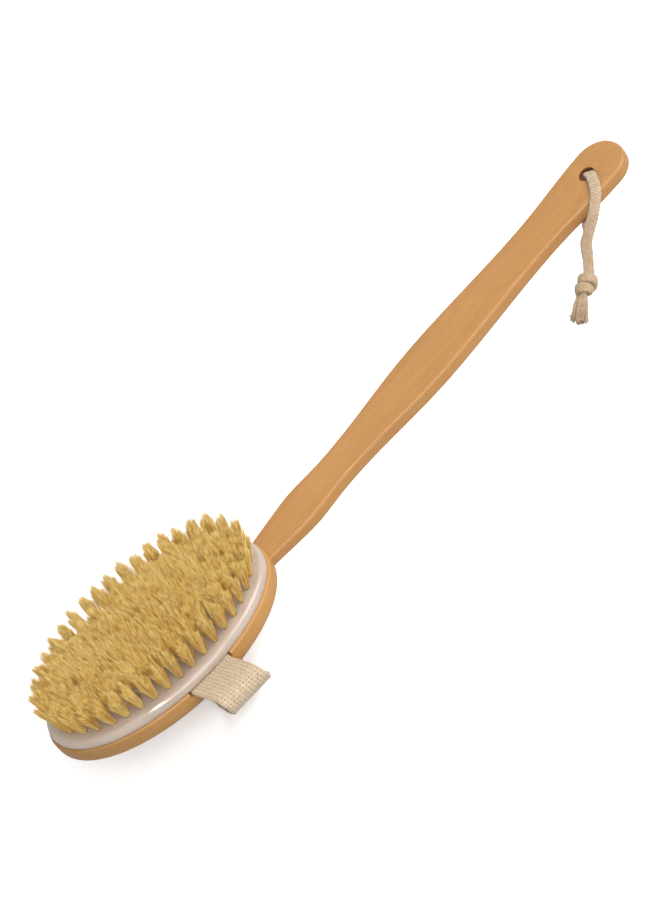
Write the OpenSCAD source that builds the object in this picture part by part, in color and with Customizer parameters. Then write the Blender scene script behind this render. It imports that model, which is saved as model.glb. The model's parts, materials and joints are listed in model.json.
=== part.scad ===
// Long-handled body brush: an oval wooden head with a bristle plate and a hand
// strap, a handle that pulls out of the head, and a knotted hanging cord.
// The head is built around its own centre, on the seam between plate and wood,
// with the bristles towards +Z and the handle towards +X. The whole part is then
// moved so that the origin is the middle of the strap's flat underside.
// The near side is -Y, the far side +Y.

/* [Head] */
// Length of the wooden head, along the handle
head_l = 137.4; // [132:0.2:146]
// Width of the wooden head
head_w = 79.4; // [77:0.2:86]
// Thickness of the wooden head at its crown
head_t = 17.6; // [17:0.1:20]
// Depth at which the side wall starts to round over into the back
wall_t = 6.4; // [5.5:0.1:7]
// Radius of the rounded lip around the bristle plate
lip_r = 1.2; // [0.8:0.05:1.6]

/* [Bristle plate] */
// Thickness of the bristle plate
plate_t = 5; // [4.8:0.1:6]
// Width of the rounded border of the plate
plate_edge = 3; // [2:0.1:3.6]
// Diameter of the blind hole of each tuft
tuft_hole_d = 4.2; // [3.8:0.1:4.6]
// Depth of the blind hole of each tuft
tuft_hole_depth = 3.7; // [3.2:0.1:3.9]

/* [Bristles] */
// Height of the bristle tips above the seam between plate and wood
bristle_h = 22.6; // [19:0.2:26]
// Distance from the edge of the plate to the outer ring of tufts
ring_inset = 7; // [6.6:0.1:7.6]
// Distance between two rings of tufts
ring_step = 7.5; // [7.3:0.1:7.7]
// Distance between two tufts of a ring
tuft_pitch = 7.6; // [7.4:0.1:8.6]
// Radius of a tuft at its tip
tuft_tip_r = 3.2; // [2.6:0.1:3.3]

/* [Hand strap] */
// Width of the webbing
strap_w = 25.4; // [20:0.2:30]
// Thickness of the webbing
strap_t = 1.9; // [1.5:0.1:2]
// Distance from the middle of the head to the middle of the strap's clamped ends
strap_x = 6.5; // [0:0.5:10]
// Distance from the seam down to the underside of the strap
strap_drop = 39; // [36:0.5:50]
// Distance from the middle of the head to the strap's fold on the near side, where the slack is
strap_reach = 62.5; // [58:0.5:68]
// Distance from the middle of the head to the strap's fold on the far side
far_reach = 50; // [47:0.5:56]
// Sideways drift of the strap between its clamped end and its underside
strap_drift = 8.5; // [0:0.5:9]

/* [Handle] */
// Length of the handle outside the head
handle_out = 270.3; // [250:0.1:320]
// Angle of the handle, towards the bristle side
handle_tilt = 7.5; // [6:0.1:8]
// Thickness of the handle
handle_t = 7.7; // [7.5:0.1:9]
// Thickness of the neck where it enters the head
neck_t = 6.3; // [6:0.1:7.2]
// Width of the neck where it enters the head
neck_w = 17.2; // [15:0.2:18]
// Width at the shoulder above the neck
shoulder_w = 23.6; // [21:0.2:25]
// Width at the narrow place after the shoulder
waist_w = 20.4; // [18:0.2:22]
// Width at the swell in the middle
belly_w = 29.6; // [26:0.2:32]
// Width at the narrow place before the end
wrist_w = 24; // [21:0.2:26]
// Width of the rounded end
end_w = 28.8; // [27:0.2:30]
// Length of the tenon inside the head
tenon_l = 44; // [36:1:46]
// Gap between tenon and mortise, each side
slip = 0.05; // [0.03:0.01:0.08]

/* [Hanging cord] */
// Diameter of the hanging hole
hang_d = 9.2; // [9:0.1:10]
// Width of the braided cord
cord_w = 6; // [5:0.1:6]
// Thickness of the braided cord
cord_t = 2; // [1.6:0.1:2]
// Distance from the hole to the knot
loop_l = 60; // [55:1:75]
// Distance from the hole to the ends of the tails
cord_l = 90; // [90:1:120]
// Direction of the cord at rest: degrees from straight sideways, towards the head
cord_lean = 46; // [30:0.5:48]
// How far each strand of the loop bows out sideways
cord_bow = 5.5; // [2:0.5:5.5]

/* [Hidden] */
$fn = 48;

head_half_l = head_l / 2;
head_half_w = head_w / 2;
plate_half_l = head_half_l - lip_r;
plate_half_w = head_half_w - lip_r;
rest_x = strap_x + strap_drift;      // middle of the strap's underside
oval_n = 72;                         // corners of an oval outline
neck_x = plate_half_l;               // where the handle's length starts
neck_z = -4.75;                      // height of the handle's middle there
hang_hole_at = handle_out - 22.5;    // hanging hole, along the handle
cut_h = 20;                          // height of the drills that cut the wood and webbing
both_sides = [-1, 1];

head_color = [0.83, 0.65, 0.42];
handle_color = [0.80, 0.61, 0.38];
plate_color = [0.90, 0.86, 0.82, 0.8];
tuft_color = [0.82, 0.69, 0.40];
cotton = [0.88, 0.82, 0.72];
steel = [0.72, 0.72, 0.74];

// ---------- frames ----------
module in_head() translate([-rest_x, 0, strap_drop]) children();
module along_handle() in_head()
    translate([neck_x, 0, neck_z]) rotate([0, -handle_tilt, 0]) children();
module at_sites(list) for (site = list) in_head() translate([site[0], site[1], 0]) children();
module at_tacks(sides) for (side = sides) for (x = tack_xs)
    in_head() translate([x, side * tack_y, 0]) children();

// ---------- blends and lofts ----------
function mix(from, to, share) = from + (to - from) * share;
function ease(share) = (1 - cos(180 * share)) / 2;
function smooth(share) = let (s = max(0, min(1, share))) s * s * (3 - 2 * s);
function reversed(list) = [for (i = [len(list) - 1:-1:0]) list[i]];
function oval(half_l, half_w, z) = [for (i = [0:oval_n - 1])
    let (angle = i * 360 / oval_n) [half_l * cos(angle), half_w * sin(angle), z]];

// Skin over rings that all have the same number of points, closed at both ends
module loft(rings) {
    ring_n = len(rings[0]);
    last = len(rings) - 1;
    points = [for (ring = rings) for (point = ring) point];
    polyhedron(points, concat(
        [[for (i = [0:ring_n - 1]) i]],
        [for (j = [0:last - 1]) for (i = [0:ring_n - 1])
            let (here = j * ring_n + i, beside = j * ring_n + (i + 1) % ring_n)
            each [[here, here + ring_n, beside], [beside, here + ring_n, beside + ring_n]]],
        [[for (i = [ring_n - 1:-1:0]) last * ring_n + i]]), convexity = 6);
}

// ---------- screws and tacks ----------
screw_r = 1.4;
screw_tip = 9;          // depth of the tip below the seam
screw_head_h = 1.85;    // the head widens by as much as it is high
countersink_h = 2.2;
countersink_grow = 2.25;
screw_gap = 0.05;       // around the shaft in the plate
cross_slot = [3.4, 0.7, 2.4];
tack_r = 0.6;
tack_tip = 10;          // depth of the tip below the seam
tack_y = 28;
tack_xs = [strap_x - 7, strap_x + 7];
point_l = 2;            // length of a pointed end
drill_gap = 0.03;       // around a shaft in the wood
drill_extra = 0.3;      // below a tip

// Shaft with its point at the depth tip, up to the height top
module shaft(radius, point_r, tip, top) {
    translate([0, 0, point_l - tip]) cylinder(r = radius, h = top + tip - point_l, $fn = 32);
    translate([0, 0, -tip]) cylinder(r1 = point_r, r2 = radius, h = point_l, $fn = 32);
}
module drill(radius, bottom) translate([0, 0, bottom]) cylinder(r = radius + drill_gap, h = cut_h);

module plate_screws() color(steel) at_sites(screw_sites) difference() {
    union() {
        shaft(screw_r, 0.3, screw_tip, plate_t - countersink_h);
        translate([0, 0, plate_t - countersink_h])
            cylinder(r1 = screw_r, r2 = screw_r + screw_head_h, h = screw_head_h, $fn = 32);
    }
    for (angle = [0, 90]) rotate([0, 0, angle])
        translate([0, 0, plate_t]) cube(cross_slot, center = true);
}

module strap_tacks(side) color(steel) at_tacks([side]) {
    shaft(tack_r, 0.1, tack_tip, -0.5);
    translate([0, 0, -0.73]) cylinder(r1 = 2.2, r2 = 1.5, h = 0.55, $fn = 32);
}
module strap_tacks_near() strap_tacks(-1);
module strap_tacks_far() strap_tacks(1);

// ---------- head ----------
nose_draw = 2.6;        // how far the nose, opposite the handle, is drawn in
back_steps = 14;
pocket_y = 21.4;        // inner end of the strap's pocket
pocket_l = 30;
pocket_h = 10;          // cut from below the webbing to above the seam
pocket_gap = 1.2;       // on each side of the webbing
pocket_floor = -strap_t - 0.8;

// Height of the back at a share of the way from rim to crown
function back_z(share) = -wall_t - (head_t - wall_t) * sqrt(1 - pow(1 - share, 3.5));
function back_ring(share) =
    let (nose = nose_draw * min(1, 10 * share), half_l = head_half_l - nose)
    [for (point = oval(half_l - head_half_w * share * (1 - share) - half_l * share * share,
            head_half_w * (1 - share), back_z(share))) point + [nose, 0, 0]];
// From the seam over the lip, down the wall and over the back; the steps grow to the crown
head_rings = concat(
    [for (angle = [0:30:90]) let (inset = lip_r * (1 - sin(angle)))
        oval(head_half_l - inset, head_half_w - inset, -lip_r * (1 - cos(angle)))],
    [oval(head_half_l, head_half_w, -wall_t)],
    [for (i = [1:back_steps - 1]) back_ring(pow(i / back_steps, 2.2))]);

// Mortise: the tenon's shape with a gap all round, run out past the rim
module tenon_space() along_handle() loft([for (along = [-tenon_l - 0.4, 0, 4])
    section(along, tenon_half_w(along) + slip, tenon_half_h(along) + slip, tenon_edge_r + slip)]);

module strap_pocket(side) in_head()
    translate([strap_x, side * (pocket_y + pocket_l / 2), pocket_floor + pocket_h / 2])
    cube([strap_w + 2 * pocket_gap, pocket_l, pocket_h], center = true);

module head_block() color(head_color) difference() {
    in_head() loft(reversed(head_rings));
    tenon_space();
    for (side = both_sides) strap_pocket(side);
    at_tacks(both_sides) drill(tack_r, -tack_tip - drill_extra);
    at_sites(screw_sites) drill(screw_r, -screw_tip - drill_extra);
}

// ---------- sites of tufts and screws ----------
tip_lean = 11.5;        // outward lean of the outer ring's tufts, degrees

// Rows of [distance along the outline, angle] for an oval
function oval_table(half_l, half_w, i = 0, steps = 180, so_far = 0) = i > steps ? [] :
    let (angle = 360 * i / steps, before = angle - 360 / steps,
         chord = i == 0 ? 0 : norm([half_l * (cos(angle) - cos(before)),
                                    half_w * (sin(angle) - sin(before))]))
    concat([[so_far + chord, angle]],
        oval_table(half_l, half_w, i + 1, steps, so_far + chord));
function ring_half_l(ring) = plate_half_l - ring_inset - ring_step * ring;
function ring_half_w(ring) = plate_half_w - ring_inset - ring_step * ring;
// Evenly spaced sites of a ring, odd rings offset by half a step.
// A site is [x, y, outward direction, lean].
function ring_sites(ring) =
    let (half_l = ring_half_l(ring), half_w = ring_half_w(ring),
         table = oval_table(half_l, half_w), outline_l = table[len(table) - 1][0],
         count = 2 * round(outline_l / tuft_pitch / 2))
    [for (i = [0:count - 1])
        let (angle = lookup((i + (ring % 2) / 2) * outline_l / count, table))
        [half_l * cos(angle), half_w * sin(angle),
         atan2(sin(angle) / half_w, cos(angle) / half_l), tip_lean * (4 - ring) / 4]];

// The centre row is one ring step inside the fourth ring
row_half_l = ring_half_l(3) - ring_step;
row_n = max(2, floor(2 * row_half_l / tuft_pitch));
row_sites = [for (i = [0:row_n]) let (x = (i - row_n / 2) * 2 * row_half_l / row_n)
    [x, 0, x < 0 ? 180 : 0, 2.5 * abs(x) / ring_half_l(3)]];

// Four sites of the second ring hold screws, mirrored about both axes.
// The first one is about 3.6 sites in 32 round from the handle end.
second_all = ring_sites(1);
second_n = len(second_all);
first_screw = round(second_n * 3.6 / 32);
screw_nos = [first_screw, second_n / 2 - 1 - first_screw,
    second_n / 2 + first_screw, second_n - 1 - first_screw];
function is_screw(i) = len([for (no = screw_nos) if (no == i) no]) > 0;
screw_sites = [for (i = screw_nos) second_all[i]];
second_sites = [for (i = [0:second_n - 1]) if (!is_screw(i)) second_all[i]];
tuft_sites = [ring_sites(0), second_sites, ring_sites(2), ring_sites(3), row_sites];

// ---------- plate ----------
hole_floor = plate_t - tuft_hole_depth;
plate_cut_h = 10;       // height of the plate's drills
plate_rings = concat(
    [oval(plate_half_l, plate_half_w, 0.02)],
    [for (i = [0:5]) let (angle = i * 18, inset = plate_edge * (1 - cos(angle)))
        oval(plate_half_l - inset, plate_half_w - inset,
            plate_t - plate_edge * (1 - sin(angle)))]);

module bristle_plate() color(plate_color) difference() {
    in_head() loft(plate_rings);
    for (sites = tuft_sites) at_sites(sites)
        translate([0, 0, hole_floor]) cylinder(d = tuft_hole_d, h = plate_cut_h, $fn = 24);
    at_sites(screw_sites) {
        translate([0, 0, -1]) cylinder(r = screw_r + screw_gap, h = plate_cut_h, $fn = 32);
        translate([0, 0, plate_t - countersink_h])
            cylinder(r1 = screw_r + screw_gap, r2 = screw_r + countersink_grow,
                h = countersink_h, $fn = 32);
    }
}

// ---------- tufts and their anchors ----------
tuft_gap = 0.05;        // around and under a tuft in its hole
anchor_l = 3.7;
anchor_t = 0.36;
anchor_h = 1.4;
anchor_gap = 0.04;      // around an anchor in its tuft
anchor_z = hole_floor + 1.1 + anchor_h / 2;    // middle of the anchor

// A plug in the hole and a leaning cone above it, slotted for the anchor
module tuft_at(site) in_head() translate([site[0], site[1], 0]) rotate([0, 0, site[2]]) difference() {
    lean = site[3];
    union() {
        translate([0, 0, hole_floor + tuft_gap])
            cylinder(d = tuft_hole_d - 2 * tuft_gap, h = tuft_hole_depth, $fn = 24);
        translate([0, 0, plate_t]) rotate([0, lean, 0])
            cylinder(r1 = tuft_hole_d / 2 - 0.2, r2 = tuft_tip_r,
                h = (bristle_h - plate_t - tuft_tip_r * sin(lean)) / cos(lean), $fn = 24);
    }
    translate([0, 0, anchor_z])
        cube([anchor_t + 2 * anchor_gap, tuft_hole_d + 1, anchor_h + 2 * anchor_gap], center = true);
}
module anchor_at(site) in_head() translate([site[0], site[1], anchor_z])
    rotate([0, 0, site[2]]) cube([anchor_t, anchor_l, anchor_h], center = true);

module tufts(ring) color(tuft_color) for (site = tuft_sites[ring]) tuft_at(site);
module anchors(ring) color(steel) for (site = tuft_sites[ring]) anchor_at(site);
module tufts_outer_ring() tufts(0);
module tufts_second_ring() tufts(1);
module tufts_third_ring() tufts(2);
module tufts_fourth_ring() tufts(3);
module tufts_centre_row() tufts(4);
module anchors_outer_ring() anchors(0);
module anchors_second_ring() anchors(1);
module anchors_third_ring() anchors(2);
module anchors_fourth_ring() anchors(3);
module anchors_centre_row() anchors(4);

// ---------- hand strap ----------
clamp_z = -strap_t / 2 - 0.75;        // middle of the webbing where it is clamped
low_z = -strap_drop + strap_t / 2;    // middle of the webbing at its underside
mouth_y = head_half_w + 0.4;          // just outside the wood
near_y = strap_reach - strap_t / 2;   // middle of the webbing at each fold
far_y = far_reach - strap_t / 2;
drift_run = 48;                       // length of webbing over which it drifts

// Points of a cubic curve through four control points, without its start
function bezier(p, t) = p[0] * pow(1 - t, 3) + 3 * p[1] * t * pow(1 - t, 2)
    + 3 * p[2] * t * t * (1 - t) + p[3] * pow(t, 3);
function curve(controls, steps) = [for (i = [1:steps]) bezier(controls, i / steps)];

// The webbing's path in two halves of [distance from the middle, z], each from
// a clamped end to the middle of the underside
clamped = [[22, clamp_z], [30, clamp_z], [mouth_y - 1, clamp_z]];
underside = [[12, low_z], [0, low_z]];
// Near side: out of the seam, slightly up, round the fold, back in below the head
near_path = concat(clamped,
    curve([[mouth_y - 1, clamp_z], [mouth_y + 3, clamp_z], [near_y - 16, 2.2], [near_y - 9.5, 3]], 7),
    curve([[near_y - 9.5, 3], [near_y - 4, 3.7], [near_y, 1], [near_y, -3.8]], 7),
    curve([[near_y, -3.8], [near_y, -8.2], [near_y - 3.4, -11], [near_y - 6, -13.4]], 6),
    curve([[near_y - 6, -13.4], [near_y - 14, -20.8], [36, low_z], [24, low_z]], 9),
    underside);
// Far side: out of the seam and straight down, with little slack
far_path = concat(clamped,
    curve([[mouth_y - 1, clamp_z], [mouth_y + 4, clamp_z], [far_y, -1.5], [far_y, -8]], 8),
    curve([[far_y, -8], [far_y, -18], [far_y - 5, low_z + 14], [far_y - 10, low_z + 8]], 8),
    curve([[far_y - 10, low_z + 8], [far_y - 14, low_z + 3.2], [32, low_z], [24, low_z]], 6),
    underside);
strap_path = concat([for (point = near_path) [-point[0], point[1]]],
    [for (i = [len(far_path) - 2:-1:0]) far_path[i]]);
strap_last = len(strap_path) - 1;

// Length of webbing up to each point
function run_to(i) = i <= 0 ? 0 : run_to(i - 1) + norm(strap_path[i] - strap_path[i - 1]);
runs = [for (i = [0:strap_last]) run_to(i)];
// Sideways drift: none inside the head, all of it on the underside
function drift(i) = let (from_end = min(runs[i], runs[strap_last] - runs[i]))
    strap_drift * sin(90 * max(0, min(1, (from_end - runs[len(clamped) - 1]) / drift_run)));
function strap_ring(i) =
    let (point = strap_path[i], x = strap_x + drift(i),
         step = strap_path[min(i + 1, strap_last)] - strap_path[max(i - 1, 0)],
         across = [-step[1], step[0]] / norm(step) * strap_t / 2)
    [for (c = [[-1, 1], [1, 1], [1, -1], [-1, -1]])
        [x + c[0] * strap_w / 2, point[0] + c[1] * across[0], point[1] + c[1] * across[1]]];

module hand_strap() color(cotton) difference() {
    in_head() loft([for (i = [0:strap_last]) strap_ring(i)]);
    at_tacks(both_sides) drill(tack_r, -cut_h / 2);
}

// ---------- handle ----------
tenon_edge_r = 1.2;
handle_edge_r = 2.2;
end_at = handle_out - end_w / 2;      // where the rounded end starts
tip_l = 2.5;                          // length and depth of the end's rounded edge
tip_depth = 2;
// [distance from the rim of the head, half width]
stops = [[0, neck_w / 2], [27.7, shoulder_w / 2], [55.4, waist_w / 2],
    [127, belly_w / 2], [handle_out - 66, wrist_w / 2], [end_at, end_w / 2]];
shoulder_at = stops[1][0];

// The tenon tapers into the head
function tenon_half_w(along) = neck_w / 2 + 0.025 * min(along, 3);
function tenon_half_h(along) = neck_t / 2 + 0.016 * min(along, 0);
// Half width: full towards the shoulder, eased between the later stops, round at the end
function handle_half_w(along) =
    along <= 0 ? tenon_half_w(along) :
    along < shoulder_at ? let (share = along / shoulder_at)
        mix(stops[0][1], stops[1][1], share + 0.06 * sin(180 * share)) :
    along < end_at ? between(along, 1 + len([for (i = [2:4]) if (along >= stops[i][0]) i])) :
    sqrt(max(0, pow(end_w / 2, 2) - pow(along - end_at, 2)));
function between(along, i) = mix(stops[i][1], stops[i + 1][1],
    ease((along - stops[i][0]) / (stops[i + 1][0] - stops[i][0])));
function handle_half_h(along) =
    along <= 0 ? tenon_half_h(along) :
    along < handle_out - tip_l ? mix(neck_t / 2, handle_t / 2, smooth(along / 38)) :
    handle_t / 2 - tip_depth * (1 - sqrt(max(0, 1 - pow((along - handle_out + tip_l) / tip_l, 2))));
function handle_edge(along) = along <= 0 ? tenon_edge_r :
    min(mix(tenon_edge_r, handle_edge_r, smooth(along / 45)), handle_half_w(along) * 0.8);
// Rounded rectangle across the handle, from half width, half thickness and corner radius
function section(along, reach_y, reach_z, corner_r) = [for (quarter = [0:3]) for (k = [0:5])
    let (angle = 90 * quarter + 18 * k,
         y_side = (quarter == 0 || quarter == 3) ? 1 : -1, z_side = (quarter < 2) ? 1 : -1)
    [along, y_side * (reach_y - corner_r) + corner_r * cos(angle),
     z_side * (reach_z - corner_r) + corner_r * sin(angle)]];
stations = concat([-tenon_l, 0, 3], [for (x = [9:6:27]) x], [shoulder_at],
    [for (x = [33:6:end_at - 3]) x],
    [for (k = [0:11]) end_at + end_w / 2 * sin(k * 90 / 12)], [handle_out - 0.06]);

module handle() color(handle_color) difference() {
    along_handle() loft([for (x = stations)
        section(x, handle_half_w(x), handle_half_h(x), handle_edge(x))]);
    along_handle() translate([hang_hole_at, 0, -cut_h]) cylinder(d = hang_d, h = 2 * cut_h);
}

// ---------- hanging cord ----------
// x runs from the hole to the knot, z away from the handle's middle
pass_x = 1.3;           // where the cord passes through the hole
turn_r = 1.8;           // its bend onto the face of the handle
face_x = pass_x + turn_r;
face_z = handle_t / 2 + 0.4 + cord_t / 2;
close_x = 25;           // where the strands start to close
join_x = 40;            // where they lie together
join_z = cord_t / 2 + 0.15;
tail_start = 12;        // from the start of the knot
// Half outline of the knot: [radius, distance along the cord]
knot_outline = [[0, 0], [3.4, 0], [5, 2], [5.6, 5], [5.4, 9], [4.4, 12.6], [3, 14.4], [0, 14.4]];

// One strand: out of the hole, along the face of the handle, past its edge,
// then in to the other strand and on into the knot
function strand_at(x) = [x, cord_bow * sin(180 * (x - face_x) / (join_x - face_x)),
    mix(face_z, join_z, ease(max(0, x - close_x) / (join_x - close_x)))];
strand = concat([[pass_x, 0, 0]],
    [for (angle = [180:-15:90])
        [face_x + turn_r * cos(angle), 0, face_z - turn_r + turn_r * sin(angle)]],
    [for (i = [1:16]) strand_at(face_x + (join_x - face_x) * i / 16)],
    [[loop_l + 6, 0, join_z]]);
loop_path = concat(
    [for (i = [len(strand) - 1:-1:1]) [strand[i][0], -strand[i][1], -strand[i][2]]], strand);
loop_last = len(loop_path) - 1;
function unit(v) = v / norm(v);
function cord_ring(i) =
    let (ahead = unit(loop_path[min(i + 1, loop_last)] - loop_path[max(i - 1, 0)]),
         side = unit([0, 1, 0] - ahead[1] * ahead), up = cross(ahead, side))
    [for (c = [[-1, -1], [1, -1], [1, 1], [-1, 1]])
        loop_path[i] + c[0] * side * cord_w / 2 + c[1] * up * cord_t / 2];

module hanging_cord() color(cotton) along_handle()
    translate([hang_hole_at, 0, 0]) rotate([0, 0, 270 - cord_lean]) {
        loft([for (i = [0:loop_last]) cord_ring(i)]);
        translate([loop_l, 0, 0]) rotate([0, 90, 0]) rotate_extrude($fn = 32) polygon(knot_outline);
        for (side = both_sides) translate([loop_l + tail_start, side * 1.2, 0])
            rotate([0, 0, side * 6]) rotate([0, 90, 0])
            cylinder(r1 = 2, r2 = 2.6, h = cord_l - loop_l - tail_start - 0.4, $fn = 24);
    }

head_block();
bristle_plate();
plate_screws();
tufts_outer_ring();
tufts_second_ring();
tufts_third_ring();
tufts_fourth_ring();
tufts_centre_row();
anchors_outer_ring();
anchors_second_ring();
anchors_third_ring();
anchors_fourth_ring();
anchors_centre_row();
hand_strap();
strap_tacks_near();
strap_tacks_far();
handle();
hanging_cord();
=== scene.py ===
import json
import math

import bpy
import numpy as np
from mathutils import Matrix, Vector
from mathutils.geometry import delaunay_2d_cdt


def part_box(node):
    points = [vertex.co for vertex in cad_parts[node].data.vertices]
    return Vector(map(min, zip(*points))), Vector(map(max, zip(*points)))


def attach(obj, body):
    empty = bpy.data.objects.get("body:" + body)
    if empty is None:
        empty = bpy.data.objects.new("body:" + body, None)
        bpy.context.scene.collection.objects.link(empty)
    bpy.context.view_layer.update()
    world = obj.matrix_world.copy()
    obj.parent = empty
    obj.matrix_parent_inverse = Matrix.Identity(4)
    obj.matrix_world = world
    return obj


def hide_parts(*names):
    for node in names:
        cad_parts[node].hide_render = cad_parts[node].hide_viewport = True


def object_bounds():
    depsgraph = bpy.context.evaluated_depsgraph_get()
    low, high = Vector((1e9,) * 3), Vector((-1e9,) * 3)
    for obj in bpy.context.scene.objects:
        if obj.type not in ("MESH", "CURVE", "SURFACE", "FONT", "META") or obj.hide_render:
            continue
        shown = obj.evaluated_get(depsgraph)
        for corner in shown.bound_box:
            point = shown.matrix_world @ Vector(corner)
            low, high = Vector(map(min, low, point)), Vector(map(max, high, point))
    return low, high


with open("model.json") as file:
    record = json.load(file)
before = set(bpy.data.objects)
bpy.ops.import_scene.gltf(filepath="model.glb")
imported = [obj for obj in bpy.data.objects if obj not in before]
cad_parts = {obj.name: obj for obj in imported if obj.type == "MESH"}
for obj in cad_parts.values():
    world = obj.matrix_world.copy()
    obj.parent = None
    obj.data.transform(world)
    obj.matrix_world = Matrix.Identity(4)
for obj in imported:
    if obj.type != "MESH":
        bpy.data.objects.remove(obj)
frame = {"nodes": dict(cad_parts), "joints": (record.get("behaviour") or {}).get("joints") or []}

# A bath brush. An oval beech head lies with its bristles up, +Z, and a cotton strap
# hangs below it. A beech handle leaves the +X end of the head, with a cord through
# its hanging hole. The near side is -Y.

# ------------------------------------------------------------------ sizes and frames
# Lengths are millimetres, except in the row frame of the CAD, which is in metres.
# Head frame: (x, y, z) from the middle of the seam between plate and wood.
# Handle frame: (distance from the plate's rim, y, height) along the handle's own axes,
# with the hanging hole at (HOLE_U, 0, 0).
cad_lo, cad_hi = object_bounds()
joints = {j["name"]: j for j in frame["joints"]}
plate_lo, plate_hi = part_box("bristle_plate")
head_lo, head_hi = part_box("head_block")
handle_lo, handle_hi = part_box("handle")
strap_lo, strap_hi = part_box("hand_strap")
tuft_lo, tuft_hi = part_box("tufts_outer_ring")

CENTRE_X = (plate_lo.x + plate_hi.x) / 2
SEAM = plate_lo.z - 0.00002
ORIGIN = np.array([CENTRE_X, 0, SEAM])

# Half lengths along x and y, and heights from the seam
PLATE_X = (plate_hi.x - plate_lo.x) * 500
PLATE_Y = (plate_hi.y - plate_lo.y) * 500
PLATE_TOP = (plate_hi.z - SEAM) * 1000
HEAD_X = (head_hi.x - head_lo.x) * 500
HEAD_Y = (head_hi.y - head_lo.y) * 500
HEAD_DEPTH = (SEAM - head_lo.z) * 1000
TIP_TOP = (tuft_hi.z - SEAM) * 1000

WALL = 6.4     # depth at which the head's wall ends
LIP = 1.2      # rounding of the head's upper edge
EDGE = 3.0     # rounding of the plate's upper edge
NOSE = 2.6     # shift of the underside towards the handle

# The handle's axes and its hole
ALONG = Vector(joints["handle_slide"]["axis"]).normalized()
UP = Vector(joints["cord_swing"]["axis"]).normalized()
ACROSS = UP.cross(ALONG)
HOLE = Vector(joints["cord_swing"]["pos_m"])
HOLE_U = (HOLE.x - (CENTRE_X + PLATE_X / 1000)) / ALONG.x * 1000
HOLE_R = 4.25

HANDLE_OUT = HOLE_U + 22.5                         # far end of the handle
END_R = (handle_hi.y - handle_lo.y) * 1000 / 2     # its round end
END_U = HANDLE_OUT - END_R
NECK_W, NECK_T, HANDLE_T = 17.2, 6.3, 7.7          # width, thickness at the head and beyond
TENON = 44.0                                       # length inside the head

STRAP_W, STRAP_T = 25.4, 1.9
STRAP_X = (strap_lo.x - CENTRE_X) * 1000 + STRAP_W / 2
STRAP_DRIFT = (strap_hi.x - strap_lo.x) * 1000 - STRAP_W
STRAP_DROP = (SEAM - strap_lo.z) * 1000
STRAP_NEAR = -strap_lo.y * 1000                    # reach on the slack side
STRAP_FAR = strap_hi.y * 1000
POCKET_Y = (21.4, 52.0)                            # the strap's slots in the head

WEB_PITCH = (1.9, 1.55)                            # yarns across and along the webbing
BRAID_PITCH, BRAID_SLOPE = 2.1, 0.95


def from_head(p):
    return np.asarray(p, float) / 1000 + ORIGIN


def to_head(q):
    return (np.asarray(q, float) - ORIGIN) * 1000


def from_handle(p):
    p = np.asarray(p, float) / 1000
    return (np.array(HOLE) + (p[..., :1] - HOLE_U / 1000) * np.array(ALONG)
            + p[..., 1:2] * np.array(ACROSS) + p[..., 2:3] * np.array(UP))


def to_handle(q):
    d = (np.asarray(q, float) - np.array(HOLE)) * 1000
    return np.stack([d @ np.array(ALONG) + HOLE_U, d @ np.array(ACROSS), d @ np.array(UP)], -1)


def smooth(x):
    x = np.clip(x, 0, 1)
    return x * x * (3 - 2 * x)


def ease(x):
    return (1 - np.cos(np.pi * np.clip(x, 0, 1))) / 2


def mix(a, b, t):
    return a + (b - a) * t


def unit_rows(rows):
    return rows / np.linalg.norm(rows, axis=1)[:, None]


# ------------------------------------------------------------------ meshes
def build(name, points, quads=(), tris=(), attrs=None):
    """A smooth mesh object; attrs maps a name to a float or vector per vertex."""
    quads = np.asarray(quads, np.int32).reshape(-1, 4)
    tris = np.asarray(tris, np.int32).reshape(-1, 3)
    mesh = bpy.data.meshes.new(name)
    points = np.asarray(points, np.float32)
    mesh.vertices.add(len(points))
    mesh.vertices.foreach_set("co", points.ravel())
    corners = np.concatenate([quads.ravel(), tris.ravel()])
    starts = np.concatenate([np.arange(len(quads)) * 4,
                             len(quads) * 4 + np.arange(len(tris)) * 3])
    mesh.loops.add(len(corners))
    mesh.loops.foreach_set("vertex_index", corners)
    mesh.polygons.add(len(starts))
    mesh.polygons.foreach_set("loop_start", starts.astype(np.int32))
    mesh.update(calc_edges=True)
    mesh.validate()
    mesh.shade_smooth()
    for key, values in (attrs or {}).items():
        add_attr(mesh, key, values)
    ob = bpy.data.objects.new(name, mesh)
    bpy.context.scene.collection.objects.link(ob)
    return ob


def add_attr(mesh, key, values):
    values = np.asarray(values, np.float32)
    kind, field = ("FLOAT", "value") if values.ndim == 1 else ("FLOAT_VECTOR", "vector")
    mesh.attributes.new(key, kind, "POINT").data.foreach_set(field, values.ravel())


def coords(mesh):
    co = np.zeros(len(mesh.vertices) * 3, np.float32)
    mesh.vertices.foreach_get("co", co)
    return co.reshape(-1, 3).astype(float)


def ring_quads(rows, cols, flip=False):
    """Quads between consecutive closed rings of cols points."""
    i = np.arange(rows - 1)[:, None]
    j = np.arange(cols)[None]
    a = i * cols + j
    b = i * cols + (j + 1) % cols
    q = np.stack([a, b, b + cols, a + cols], -1).reshape(-1, 4)
    return q[:, ::-1] if flip else q


def fan(ring, centre, flip=False):
    t = np.stack([ring, np.roll(ring, -1), np.full(len(ring), centre)], -1)
    return t[:, ::-1] if flip else t


def loft(rings, ends=None, flip=False):
    """Points, quads and tris of a solid through rings, closed on the two end points."""
    rings = np.asarray(rings, float)
    if ends is None:
        ends = [rings[0].mean(0), rings[-1].mean(0)]
    rows, cols = rings.shape[:2]
    first, n = np.arange(cols), rows * cols
    tris = np.concatenate([fan(first, n, not flip), fan(first + n - cols, n + 1, flip)])
    return np.concatenate([rings.reshape(-1, 3), ends]), ring_quads(rows, cols, flip), tris


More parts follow.
